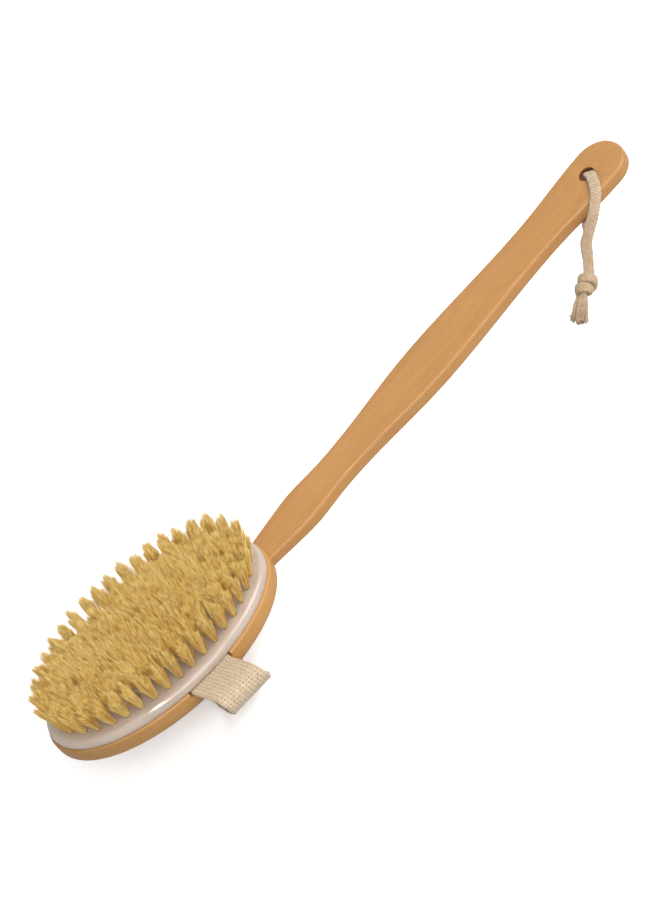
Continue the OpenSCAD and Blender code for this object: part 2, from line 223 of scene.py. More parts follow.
def merge(parts):
    """Joins parts of (points, quads, tris) and any attributes after them."""
    points, quads, tris, *attrs = zip(*parts)
    starts = np.cumsum([0] + [len(p) for p in points])

    def shifted(faces, corners):
        return np.concatenate([np.reshape(f, (-1, corners)).astype(int) + n
                               for f, n in zip(faces, starts)])
    return (np.concatenate(points), shifted(quads, 4), shifted(tris, 3),
            *map(np.concatenate, attrs))


def bake(ob, angle):
    """Applies the modifiers and marks edges sharper than angle, in degrees."""
    bpy.context.view_layer.update()
    dg = bpy.context.evaluated_depsgraph_get()
    mesh = bpy.data.meshes.new_from_object(ob.evaluated_get(dg), depsgraph=dg)
    ob.modifiers.clear()
    old = ob.data
    ob.data = mesh
    mesh.name = ob.name
    bpy.data.meshes.remove(old)
    mesh.shade_smooth()
    mesh.set_sharp_from_angle(angle=math.radians(angle))


def cut(ob, cutters, angle):
    """Cuts the solid cutters out of ob and deletes them."""
    for cutter in cutters:
        m = ob.modifiers.new("cut", "BOOLEAN")
        m.operation = "DIFFERENCE"
        m.solver = "EXACT"
        m.object = cutter
    bake(ob, angle)
    for cutter in cutters:
        bpy.data.objects.remove(cutter)


def set_material(ob, mat):
    ob.data.materials.clear()
    ob.data.materials.append(mat)


def finish_piece(ob, mat, body, node):
    set_material(ob, mat)
    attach(ob, body)
    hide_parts(node)


# ------------------------------------------------------------------ paths
def bezier(p, t):
    p = np.asarray(p, float)
    t = t[:, None]
    return (p[0] * (1 - t) ** 3 + 3 * p[1] * t * (1 - t) ** 2
            + 3 * p[2] * t * t * (1 - t) + p[3] * t ** 3)


def resample(p, step):
    """Even points along a path, and their distances from its start."""
    s = np.concatenate([[0], np.cumsum(np.linalg.norm(np.diff(p, axis=0), axis=1))])
    n = max(2, int(round(s[-1] / step)) + 1)
    q = np.linspace(0, s[-1], n)
    return np.stack([np.interp(q, s, p[:, i]) for i in range(p.shape[1])], -1), q


def blur(rows, sigma):
    """Gaussian smoothing of the rows of an open path, ends kept."""
    k = int(3 * sigma) + 1
    w = np.exp(-0.5 * (np.arange(-k, k + 1) / sigma) ** 2)
    w /= w.sum()
    pad = np.concatenate([2 * rows[:1] - rows[1:k + 1][::-1], rows,
                          2 * rows[-1:] - rows[-k - 1:-1][::-1]])
    return np.stack([np.convolve(pad[:, i], w, "valid") for i in range(rows.shape[1])], -1)


def catmull(points, step):
    """Even points along a smooth curve through the given rows, and their distances."""
    p = np.asarray(points, float)
    p = np.concatenate([2 * p[:1] - p[1:2], p, 2 * p[-1:] - p[-2:-1]])
    t = np.linspace(0, 1, 24, endpoint=False)[:, None]
    out = []
    for i in range(1, len(p) - 2):
        a, b, c, d = p[i - 1:i + 3]
        out.append(0.5 * ((2 * b) + (c - a) * t + (2 * a - 5 * b + 4 * c - d) * t ** 2
                          + (3 * b - a - 3 * c + d) * t ** 3))
    out.append(p[-2][None])
    return resample(np.concatenate(out), step)


# ------------------------------------------------------------------ shader nodes
def linear(r, g, b, level=1.0):
    """sRGB 0..255 to a linear RGBA colour, times level."""
    out = []
    for c in (r, g, b):
        c = c / 255
        out.append(level * (c / 12.92 if c <= 0.04045 else ((c + 0.055) / 1.055) ** 2.4))
    return (*out, 1.0)


def lit(r, g, b):
    """Reflectance of a surface that shows this sRGB colour in bright light."""
    return linear(r, g, b, level=0.77)


SOCKETS = {
    "color": "Base Color", "rough": "Roughness", "metal": "Metallic",
    "spec": "Specular IOR Level", "normal": "Normal", "coat": "Coat Weight",
    "coat_rough": "Coat Roughness", "sheen": "Sheen Weight",
    "sheen_rough": "Sheen Roughness", "sheen_tint": "Sheen Tint",
    "sss": "Subsurface Weight", "sss_radius": "Subsurface Radius",
    "sss_scale": "Subsurface Scale", "ior": "IOR",
    "glow": "Emission Color", "glow_level": "Emission Strength"}


class Shader:
    """A Principled material; each method adds a node and returns its output."""

    def __init__(self, name):
        self.mat = bpy.data.materials.new(name)
        self.mat.use_nodes = True
        self.nt = self.mat.node_tree
        self.nt.nodes.clear()
        out = self.node("OutputMaterial")
        self.bsdf = self.node("BsdfPrincipled")
        self.nt.links.new(self.bsdf.outputs[0], out.inputs[0])

    def node(self, kind):
        return self.nt.nodes.new("ShaderNode" + kind)

    def put(self, socket, value):
        if isinstance(value, bpy.types.NodeSocket):
            self.nt.links.new(value, socket)
        elif value is not None:
            socket.default_value = value

    def set(self, **values):
        for key, value in values.items():
            self.put(self.bsdf.inputs[SOCKETS[key]], value)

    def attr(self, name, output="Vector"):
        n = self.node("Attribute")
        n.attribute_name = name
        return n.outputs[output]

    def object_mm(self):
        return self.tint(self.node("TexCoord").outputs["Object"], 1000)

    def math(self, op, a, b=None):
        n = self.node("Math")
        n.operation = op
        self.put(n.inputs[0], a)
        self.put(n.inputs[1], b)
        return n.outputs[0]

    def add(self, a, b):
        return self.math("ADD", a, b)

    def sub(self, a, b):
        return self.math("SUBTRACT", a, b)

    def mul(self, a, b):
        return self.math("MULTIPLY", a, b)

    def abs_sine(self, a):
        return self.math("ABSOLUTE", self.math("SINE", a))

    def vmath(self, op, a, b=None, scale=None):
        n = self.node("VectorMath")
        n.operation = op
        for i, value in ((0, a), (1, b), (3, scale)):
            self.put(n.inputs[i], value)
        return n.outputs["Value" if op == "LENGTH" else "Vector"]

    def tint(self, color, factor):
        """Multiplies a colour or vector by a number."""
        return self.vmath("SCALE", color, scale=factor)

    def split(self, vector):
        n = self.node("SeparateXYZ")
        self.put(n.inputs[0], vector)
        return n.outputs

    def join(self, x, y, z):
        n = self.node("CombineXYZ")
        for socket, value in zip(n.inputs, (x, y, z)):
            self.put(socket, value)
        return n.outputs[0]

    def noise(self, vector, scale=1.0, detail=3.0, rough=0.5, stretch=None):
        if stretch:
            vector = self.vmath("MULTIPLY", vector, stretch)
        n = self.node("TexNoise")
        for key, value in (("Vector", vector), ("Scale", scale), ("Detail", detail),
                           ("Roughness", rough)):
            self.put(n.inputs[key], value)
        return n.outputs[0]

    def ramp(self, factor, span, to=(0.0, 1.0), kind="SMOOTHSTEP"):
        """Maps the span of factor to another range, with soft ends."""
        n = self.node("MapRange")
        n.interpolation_type = kind
        for key, value in (("Value", factor), ("From Min", span[0]), ("From Max", span[1]),
                           ("To Min", to[0]), ("To Max", to[1])):
            self.put(n.inputs[key], value)
        return n.outputs[0]

    def line(self, factor, span, to):
        return self.ramp(factor, span, to, "LINEAR")

    def mix(self, factor, a, b, blend="MIX"):
        n = self.node("Mix")
        n.data_type = "RGBA"
        n.blend_type = blend
        for i, value in ((0, factor), (6, a), (7, b)):
            self.put(n.inputs[i], value)
        return n.outputs[2]

    def bump(self, height, mm, strength):
        n = self.node("Bump")
        self.put(n.inputs["Strength"], strength)
        self.put(n.inputs["Distance"], mm / 1000)
        self.put(n.inputs["Height"], height)
        return n.outputs[0]


# ------------------------------------------------------------------ materials
def beech(name, light, dark, fleck, seed, fade_along, fade_to, hole=None):
    """Sanded, waxed beech. The attribute "grain" is (along, across, depth) in mm.
    fade_along and fade_to scale the colour slowly along the piece; on the head this is painted
    shade, darker at its -X end.
    hole is (along, radius, half depth) of a drilled hole whose wall is darkened with painted
    shade."""
    s = Shader(name)
    grain = s.vmath("ADD", s.attr("grain"), (seed * 31.7, seed * 17.3, seed * 9.1))
    drift = s.noise(grain, stretch=(0.012, 0.03, 0.03), detail=2.0)
    x, y, z = s.split(grain)
    wobble = s.mul(s.sub(drift, 0.5), 14.0)
    bent = s.join(x, s.add(y, wobble), s.add(z, s.mul(wobble, 0.5)))
    broad = s.noise(bent, stretch=(0.008, 0.09, 0.12), rough=0.55)
    fibre = s.noise(bent, stretch=(0.07, 1.5, 1.5), detail=5.0, rough=0.62)
    fine = s.noise(bent, stretch=(0.18, 4.2, 4.2), rough=0.6)
    # growth rings: distance from a far axis, cut by the surface
    _, ring_y, ring_z = s.split(bent)
    radius = s.vmath("LENGTH", s.join(0.0, s.add(ring_y, 21.0), s.add(ring_z, 58.0)))
    ring = s.math("SINE", s.mul(s.add(radius, s.mul(drift, 4.0)), 2.05))
    ring = s.ramp(ring, span=(-0.2, 1.0))
    # short dark rays
    ray = s.noise(bent, stretch=(0.34, 3.1, 2.2), detail=1.5, rough=0.4)
    ray = s.ramp(ray, span=(0.635, 0.70))
    cloud = s.noise(grain, stretch=(0.03, 0.06, 0.06), detail=2.0)
    tone = s.add(s.mul(broad, 0.62), s.mul(fibre, 0.50))
    tone = s.add(tone, s.mul(ring, 0.07))
    tone = s.ramp(tone, span=(0.28, 0.92))
    col = s.mix(tone, light, dark)
    col = s.mix(s.mul(ray, 0.30), col, fleck)
    col = s.tint(col, s.line(fine, span=(0.25, 0.75), to=(0.955, 1.035)))
    col = s.tint(col, s.line(cloud, span=(0.3, 0.7), to=(0.965, 1.03)))
    col = s.tint(col, s.line(s.split(s.attr("grain"))[0], span=fade_along, to=fade_to))
    if hole:
        hole_x, hole_r, hole_z = hole
        # painted shade: the wall of the hanging hole is darkened, fading out towards both rims
        x, y, z = s.split(s.attr("grain"))
        far = s.vmath("LENGTH", s.join(s.sub(x, hole_x), y, 0.0))
        deep = s.ramp(s.math("ABSOLUTE", z), span=(hole_z - 0.75, hole_z - 0.1), to=(1.0, 0.0))
        wall = s.mul(s.ramp(far, span=(hole_r + 0.25, hole_r + 0.8), to=(1.0, 0.0)), deep)
        col = s.mix(s.mul(wall, 0.88), col, lit(116, 58, 32))
    rough = s.line(s.add(s.mul(fibre, 0.7), s.mul(ray, 0.25)), span=(0.2, 0.8), to=(0.40, 0.56))
    height = s.add(s.mul(fine, 0.5), s.mul(fibre, 0.6))
    height = s.sub(height, s.mul(ray, 0.35))
    s.set(color=col, rough=rough, spec=0.38, normal=s.bump(height, mm=0.10, strength=0.55),
          coat=0.06, coat_rough=0.35)
    return s.mat


def milky_plate():
    s = Shader("milky_plate")
    p = s.object_mm()
    cloud = s.noise(p, scale=0.045)
    flow = s.noise(p, stretch=(0.03, 0.12, 0.12), detail=2.0)
    col = s.mix(s.ramp(cloud, span=(0.3, 0.7)), lit(214, 198, 184), lit(204, 187, 173))
    col = s.mix(s.ramp(flow, span=(0.35, 0.75), to=(0.0, 0.35)), col, lit(224, 208, 196))
    scuff = s.noise(p, stretch=(0.9, 2.6, 2.6), detail=4.0, rough=0.7)
    rough = s.line(scuff, span=(0.3, 0.8), to=(0.09, 0.16))
    wave = s.noise(p, scale=0.11, detail=1.0, rough=0.4)
    height = s.add(s.mul(wave, 1.0), s.mul(scuff, 0.02))
    # painted glow: the plate glows a little, in place of light scattered through the milky plastic
    s.set(color=col, rough=rough, spec=0.5, ior=1.49,
          sss=0.85, sss_radius=(1.0, 0.72, 0.55), sss_scale=0.0028,
          normal=s.bump(height, mm=0.18, strength=0.30), coat=0.25, coat_rough=0.06,
          glow=col, glow_level=0.07)
    return s.mat


def bristle():
    """Hairs with "along" 0 at the root to 1 at the tip, and a random "tone" and "clump"."""
    s = Shader("boar_bristle")
    along = s.attr("along", "Fac")
    tone = s.attr("tone", "Fac")
    clump = s.attr("clump", "Fac")
    root = s.mix(tone, linear(222, 166, 88), linear(255, 232, 162))
    middle = s.mix(tone, linear(226, 162, 58), linear(255, 220, 118))
    tip = s.mix(tone, linear(238, 182, 74), linear(255, 238, 158))
    col = s.mix(s.ramp(along, span=(0.0, 0.55)), root, middle)
    col = s.mix(s.ramp(along, span=(0.55, 1.0)), col, tip)
    col = s.mix(s.ramp(clump, span=(0.45, 0.72), to=(0.0, 0.50)), col, linear(255, 240, 176))
    col = s.tint(col, s.line(clump, span=(0.05, 0.50), to=(0.78, 1.0)))
    # a few brown hairs and some pale ones
    col = s.mix(s.ramp(tone, span=(0.05, 0.08), to=(0.7, 0.0)), col, linear(150, 88, 36))
    col = s.mix(s.ramp(tone, span=(0.80, 0.86), to=(0.0, 0.75)), col, linear(255, 248, 208))
    streak = s.noise(s.join(s.mul(along, 9.0), s.mul(tone, 53.0), clump), detail=2.0)
    col = s.tint(col, s.line(streak, span=(0.3, 0.7), to=(0.90, 1.0)))
    col = s.mix(1.0, col, (0.83, 0.795, 0.645, 1.0), "MULTIPLY")
    # painted glow: the hairs glow a little, in place of light that comes through the neighbouring
    # hairs
    s.set(color=col, rough=s.line(streak, span=(0.3, 0.7), to=(0.34, 0.48)), spec=0.34,
          sheen=0.5, sheen_rough=0.5, sheen_tint=linear(255, 205, 110),
          normal=s.bump(streak, mm=0.03, strength=0.4), glow=col, glow_level=0.11)
    return s.mat


def set_cotton(s, col, yarn, normal):
    s.set(color=col, rough=s.line(yarn, span=(0.2, 0.8), to=(0.82, 0.95)), spec=0.18,
          sheen=0.25, sheen_rough=0.5, normal=normal)


def webbing():
    """Plain woven cotton. The attribute "weave" is (across, along, side) in mm."""
    s = Shader("cotton_webbing")
    v = s.attr("weave")
    slub = s.noise(v, stretch=(0.5, 0.12, 1.0), detail=2.0)
    jitter = s.mul(s.sub(s.noise(v, scale=0.33, detail=2.0), 0.5), 0.9)
    x, y, side = s.split(v)
    across, along = [s.mul(s.add(c, jitter), math.pi / pitch)
                     for c, pitch in zip((x, y), WEB_PITCH)]
    a = s.abs_sine(across)
    b = s.abs_sine(along)
    over = s.ramp(s.mul(s.math("SINE", across), s.math("SINE", along)), span=(-0.15, 0.15))
    gap = s.mul(s.sub(1.0, a), s.sub(1.0, b))
    column, row = [s.math("FLOOR", s.add(s.math("DIVIDE", c, pitch), 0.5))
                   for c, pitch in zip((x, y), WEB_PITCH)]
    cell = s.noise(s.join(column, row, side), scale=3.7, detail=0.0)
    pinhole_shade = s.mul(s.ramp(gap, span=(0.22, 0.55)),
                    s.ramp(cell, span=(0.28, 0.66), to=(0.40, 1.0)))
    valley_shade = s.sub(1.0, s.ramp(s.math("MINIMUM", a, b), span=(0.0, 0.5)))
    twist = s.noise(v, stretch=(3.5, 2.2, 1.0), rough=0.6)
    hair = s.noise(v, scale=6.5, detail=4.0, rough=0.7)
    col = s.mix(s.ramp(slub, span=(0.3, 0.7)), lit(226, 205, 174), lit(214, 190, 159))
    col = s.mix(s.mul(over, 0.25), col, lit(242, 222, 194))
    # painted shade: the valleys between the yarns and the pinholes of the weave are darkened
    col = s.mix(s.mul(valley_shade, 0.16), col, lit(202, 166, 134))
    col = s.mix(s.mul(pinhole_shade, 0.90), col, lit(128, 96, 72))
    col = s.tint(col, s.line(hair, span=(0.25, 0.75), to=(0.93, 1.06)))
    height = s.add(s.mul(s.math("POWER", s.mul(a, b), 0.5), 1.0), s.mul(twist, 0.35))
    height = s.add(height, s.mul(hair, 0.18))
    set_cotton(s, col, twist, s.bump(height, mm=0.22, strength=0.6))
    return s.mat


def braid():
    """Flat braided cotton. The attribute "braid" is (across, along, side) in mm."""
    s = Shader("cotton_cord")
    v = s.attr("braid")
    x, y, _ = s.split(v)
    jitter = s.mul(s.sub(s.noise(v, scale=0.5, detail=2.0), 0.5), 0.35)
    a, b = [s.abs_sine(s.mul(s.math(op, s.add(y, jitter), s.mul(x, BRAID_SLOPE)),
                             math.pi / BRAID_PITCH)) for op in ("ADD", "SUBTRACT")]
    valley_shade = s.sub(1.0, s.ramp(s.math("MINIMUM", a, b), span=(0.0, 0.6)))
    gap = s.mul(s.sub(1.0, a), s.sub(1.0, b))
    hair = s.noise(v, scale=6.0, detail=4.0, rough=0.7)
    yarn_noise = s.noise(v, stretch=(2.4, 2.4, 1.0), detail=2.0)
    soft = s.noise(v, scale=0.35, detail=2.0)
    col = s.mix(s.ramp(soft, span=(0.3, 0.7)), lit(218, 195, 166), lit(204, 178, 146))
    # painted shade: the valleys and gaps between the braid's strands are darkened
    col = s.mix(s.mul(valley_shade, 0.42), col, lit(182, 144, 108))
    col = s.mix(s.mul(s.ramp(gap, span=(0.4, 0.85)), 0.55), col, lit(142, 104, 74))
    # darker towards the knot
    away = s.vmath("LENGTH", s.vmath("SUBTRACT", s.object_mm(), tuple(c * 1000 for c in HOLE)))
    col = s.mix(s.ramp(away, span=(20, 38), to=(0.0, 0.62)), col,
                s.vmath("MULTIPLY", col, (0.80, 0.73, 0.64)))
    col = s.tint(col, s.line(hair, span=(0.25, 0.75), to=(0.94, 1.05)))
    height = s.add(s.math("POWER", s.mul(a, b), 0.5),
                   s.add(s.mul(yarn_noise, 0.3), s.mul(hair, 0.2)))
    set_cotton(s, col, yarn_noise, s.bump(height, mm=0.25, strength=0.8))
    return s.mat


def steel(name, tone, rough, brushed):
    """Brushed steel; brushed is the noise frequency per mm along each axis."""
    s = Shader(name)
    p = s.object_mm()
    brush = s.noise(p, stretch=brushed, detail=4.0, rough=0.6)
    spot = s.noise(p, scale=0.8)
    col = s.mix(s.ramp(spot, span=(0.35, 0.75)), linear(*tone), linear(*[c * 0.8 for c in tone]))
    col = s.tint(col, s.line(brush, span=(0.3, 0.7), to=(0.93, 1.05)))
    s.set(color=col, metal=1.0, rough=s.line(brush, span=(0.2, 0.8), to=(rough, rough + 0.14)),
          normal=s.bump(brush, mm=0.02, strength=0.5))
    return s.mat


# painted shade and light: the head is darker towards its -X end and a little lighter towards +X,
# as if lit from the +X side
mat_head = beech("beech_head", light=lit(216, 163, 95), dark=lit(203, 146, 79),
                 fleck=lit(158, 103, 50), seed=1, fade_along=(-64.0, 40.0), fade_to=(0.80, 1.04))
mat_handle = beech("beech_handle", light=lit(214, 159, 95), dark=lit(201, 142, 79),
                   fleck=lit(160, 103, 52), seed=2, fade_along=(60.0, 262.0),
                   fade_to=(1.0, 0.90), hole=(HOLE_U, 4.4, HANDLE_T / 2))
mat_plate = milky_plate()
mat_bristle = bristle()
mat_web = webbing()
mat_cord = braid()

# ------------------------------------------------------------------ the head
N_AROUND = 288
AROUND = np.arange(N_AROUND) * 2 * np.pi / N_AROUND


def oval(a, b, z, shift=0.0):
    return np.stack([a * np.cos(AROUND) + shift, b * np.sin(AROUND), np.full(N_AROUND, z)], -1)


def head_shell():
    rings = [oval(PLATE_X - inset, PLATE_Y - inset, 0) for inset in (7, 0.4)]
    for k in range(1, 9):
        t = k / 8 * math.pi / 2
        inset = LIP * (1 - math.sin(t))
        rings.append(oval(HEAD_X - inset, HEAD_Y - inset, -LIP * (1 - math.cos(t))))
    for k in range(1, 6):
        # the wall is a very shallow curve, not a dead straight band
        f = k / 5
        bulge = 0.12 * math.sin(math.pi * f)
        rings.append(oval(HEAD_X + bulge, HEAD_Y + bulge, mix(-LIP, -WALL, f)))
    # the domed underside
    steps = 44
    for k in range(1, steps):
        s = (k / steps) ** 2.3
        nose = NOSE * float(smooth(10 * s))
        z = -WALL - (HEAD_DEPTH - WALL) * math.sqrt(1 - (1 - s) ** 3.5)
        half_x = HEAD_X - nose - HEAD_Y * s * (1 - s) - (HEAD_X - nose) * s * s
        rings.append(oval(half_x, HEAD_Y * (1 - s), z, nose))
    points, quads, tris = loft(rings, ends=[[0, 0, 0], [NOSE, 0, -HEAD_DEPTH]], flip=True)
    return build("head_wood", from_head(points), quads, tris)


def section(w, h, r, n=7):
    """Rounded rectangle across the handle, half width w, half height h, corners r."""
    out = []
    for q in range(4):
        sign_y = 1 if q in (0, 3) else -1
        sign_z = 1 if q < 2 else -1
        for k in range(n):
            t = math.radians(90 * q + 90 * k / (n - 1))
            out.append((sign_y * (w - r) + r * math.cos(t), sign_z * (h - r) + r * math.sin(t)))
    return out


def tenon_w(u):
    return NECK_W / 2 + 0.025 * min(u, 3)


def tenon_h(u):
    return NECK_T / 2 + 0.016 * min(u, 0)


def solid_loft(name, rings, place):
    points, quads, tris = loft(rings)
    return build(name, place(points), quads, tris)


# (distance from the rim, clearance round the tenon)
MORTISE = [(-TENON - 0.4, 0.05), (-3.0, 0.05), (-1.6, 0.07), (-0.6, 0.2), (0.6, 0.5),
           (2.4, 0.9), (6, 1.2)]


def mortise_cutter():
    rings = [[(u, y, z) for y, z in section(tenon_w(u) + gap, tenon_h(u) + gap, 1.25 + gap)]
             for u, gap in MORTISE]
    return solid_loft("cut_mortise", rings, from_handle)


def pocket_cutter(y_range):
    """A slot as wide as the strap, open upwards, with rounded lower corners."""
    gap, r = 1.2, 0.7
    x0 = STRAP_X - STRAP_W / 2 - gap
    x1 = STRAP_X + STRAP_W / 2 + gap
    z0, z1 = -STRAP_T - 0.8, 6.0

    def corner(x, start):
        angles = [math.radians(start + 90 * k / 5) for k in range(6)]
        return [(x + r * math.cos(t), z0 + r + r * math.sin(t)) for t in angles]
    profile = corner(x1 - r, -90) + [(x1, z1), (x0, z1)] + corner(x0 + r, 180)
    # rings advance along y; the profile turns so that the faces point outwards
    rings = [[(x, y, z) for x, z in profile[::-1]] for y in y_range]
    return solid_loft("cut_pocket", rings, from_head)


head = head_shell()
cut(head, [mortise_cutter(), pocket_cutter(POCKET_Y),
           pocket_cutter((-POCKET_Y[1], -POCKET_Y[0]))], angle=35)
add_attr(head.data, "grain", to_head(coords(head.data)))
finish_piece(head, mat_head, "head", ["head_block"][0])


# ------------------------------------------------------------------ places of tufts and screws
def solids_of(node):
    """Vertex sets of the separate solids of a CAD node, in the head frame."""
    mesh = frame["nodes"][node].data
    microns = np.round(coords(mesh) * 1e6).astype(np.int64)
    places, index = np.unique(microns, axis=0, return_inverse=True)
    index = index.ravel()
    parent = np.arange(len(places))

    def find(a):
        while parent[a] != a:
            parent[a] = parent[parent[a]]
            a = parent[a]
        return a
    ends = np.zeros(len(mesh.edges) * 2, np.int32)
    mesh.edges.foreach_get("vertices", ends)
    for a, b in index[ends.reshape(-1, 2)]:
        root_a, root_b = find(a), find(b)
        if root_a != root_b:
            parent[root_a] = root_b
    root = np.array([find(a) for a in range(len(places))])
    points = to_head(places / 1e6)
    return [points[root == r] for r in np.unique(root)]


def middle(p):
    return (p.min(0) + p.max(0)) / 2


def tuft_site(points):
    """Where a tuft leaves the plate, and its tip."""
    base = middle(points[points[:, 2] < PLATE_TOP - 1.5])
    tip = middle(points[points[:, 2] > PLATE_TOP + 8])
    return np.array([base[0], base[1], PLATE_TOP]), tip


# (ring, hairs per tuft, how much it is an outer ring)
TUFT_RINGS = [("outer_ring", 320, 1.0), ("second_ring", 290, 0.45), ("third_ring", 290, 0.2),
              ("fourth_ring", 290, 0.1), ("centre_row", 290, 0.1)]
TUFTS = {ring: [tuft_site(p) for p in solids_of("tufts_" + ring)] for ring, _, _ in TUFT_RINGS}
SCREWS = [middle(p)[:2] for p in solids_of("plate_screws")]


# ------------------------------------------------------------------ the plate
TUFT_HOLE_R, SCREW_HOLE_R = 1.44, 3.6
# (radius, height) down each kind of hole, below its rounded mouth
TUFT_WALL = [(TUFT_HOLE_R, PLATE_TOP - 0.18), (TUFT_HOLE_R, PLATE_TOP - 3.7)]
SCREW_WALL = [(SCREW_HOLE_R - 0.05, PLATE_TOP - 0.15), (1.45, PLATE_TOP - 2.2), (1.45, 0.3)]
MOUTH = 0.16     # how far the mouth of a hole widens


def flat_face(rim, holes, angles):
    """The plate's flat top, between the rim and the mouths of the holes."""
    verts = [Vector(p) for p in rim]
    n, m = len(verts), len(angles)
    edges = [(i, (i + 1) % n) for i in range(n)]
    for x, y, r, _ in holes:
        start = len(verts)
        mouth = r + MOUTH
        verts += [Vector((x + mouth * math.cos(a), y + mouth * math.sin(a))) for a in angles]
        edges += [(start + i, start + (i + 1) % m) for i in range(m)]
    points, _, faces, *_ = delaunay_2d_cdt(verts, edges, [], 0, 1e-5, True)
    points = np.array([(v.x, v.y) for v in points])
    faces = np.array([f for f in faces if len(f) == 3])
    centre = points[faces].mean(1)
    inside = ((centre[:, 0] / (PLATE_X - EDGE)) ** 2 + (centre[:, 1] / (PLATE_Y - EDGE)) ** 2) < 1
    for x, y, r, _ in holes:
        inside &= np.hypot(centre[:, 0] - x, centre[:, 1] - y) > r + 0.1
    faces = faces[inside]
    a, b, c = (points[faces[:, i]] for i in range(3))
    down = np.cross(b - a, c - a) < 0
    faces[down] = faces[down][:, ::-1]
    return np.column_stack([points, np.full(len(points), PLATE_TOP)]), (), faces


def plate():
    # (inset, height) of the lower edge and wall
    rings = [oval(PLATE_X - inset, PLATE_Y - inset, z)
             for inset, z in ((0.45, 0.03), (0.12, 0.16), (0, 0.5), (0, PLATE_TOP - EDGE))]
    for k in range(1, 13):
        t = k / 12 * math.pi / 2
        inset = EDGE * (1 - math.cos(t))
        rings.append(oval(PLATE_X - inset, PLATE_Y - inset, PLATE_TOP - EDGE * (1 - math.sin(t))))
    rows = len(rings)
    parts = [(np.concatenate(rings + [[[0, 0, 0.03]]]), ring_quads(rows, N_AROUND),
              fan(np.arange(N_AROUND), rows * N_AROUND, True))]
    holes = [(base[0], base[1], TUFT_HOLE_R, TUFT_WALL)
             for sites in TUFTS.values() for base, _ in sites]
    holes += [(x, y, SCREW_HOLE_R, SCREW_WALL) for x, y in SCREWS]
    m = 28
    angles = np.arange(m) * 2 * np.pi / m
    parts.append(flat_face(rings[-1][:, :2], holes, angles))
    for x, y, r, wall in holes:
        profile = [(r + MOUTH, PLATE_TOP), (r + 0.04, PLATE_TOP - 0.05)] + wall
        points = [np.column_stack([x + radius * np.cos(angles), y + radius * np.sin(angles),
                                   np.full(m, z)]) for radius, z in profile]
        rows = len(profile)
        parts.append((np.concatenate(points + [[[x, y, profile[-1][1]]]]),
                      ring_quads(rows, m, flip=True),
                      fan(np.arange(m) + (rows - 1) * m, rows * m)))
    points, quads, tris = merge(parts)
    ob = build("plate_moulding", from_head(points), quads, tris)
    # joins the border, the flat face and the holes
    ob.modifiers.new("weld", "WELD").merge_threshold = 0.000004
    bake(ob, angle=50)
    return ob


finish_piece(plate(), mat_plate, "head", "bristle_plate")


# ------------------------------------------------------------------ bristles
# A hair is a thin three-sided taper through these fractions of its length
LEVELS = np.array([-0.07, 0.12, 0.36, 0.60, 0.82, 1.0])
HAIR_R = np.array([1.0, 1.0, 0.98, 0.92, 0.78, 0.26]) * 0.150


def polar(radius, angle):
    return np.stack([radius * np.cos(angle), radius * np.sin(angle)], -1)


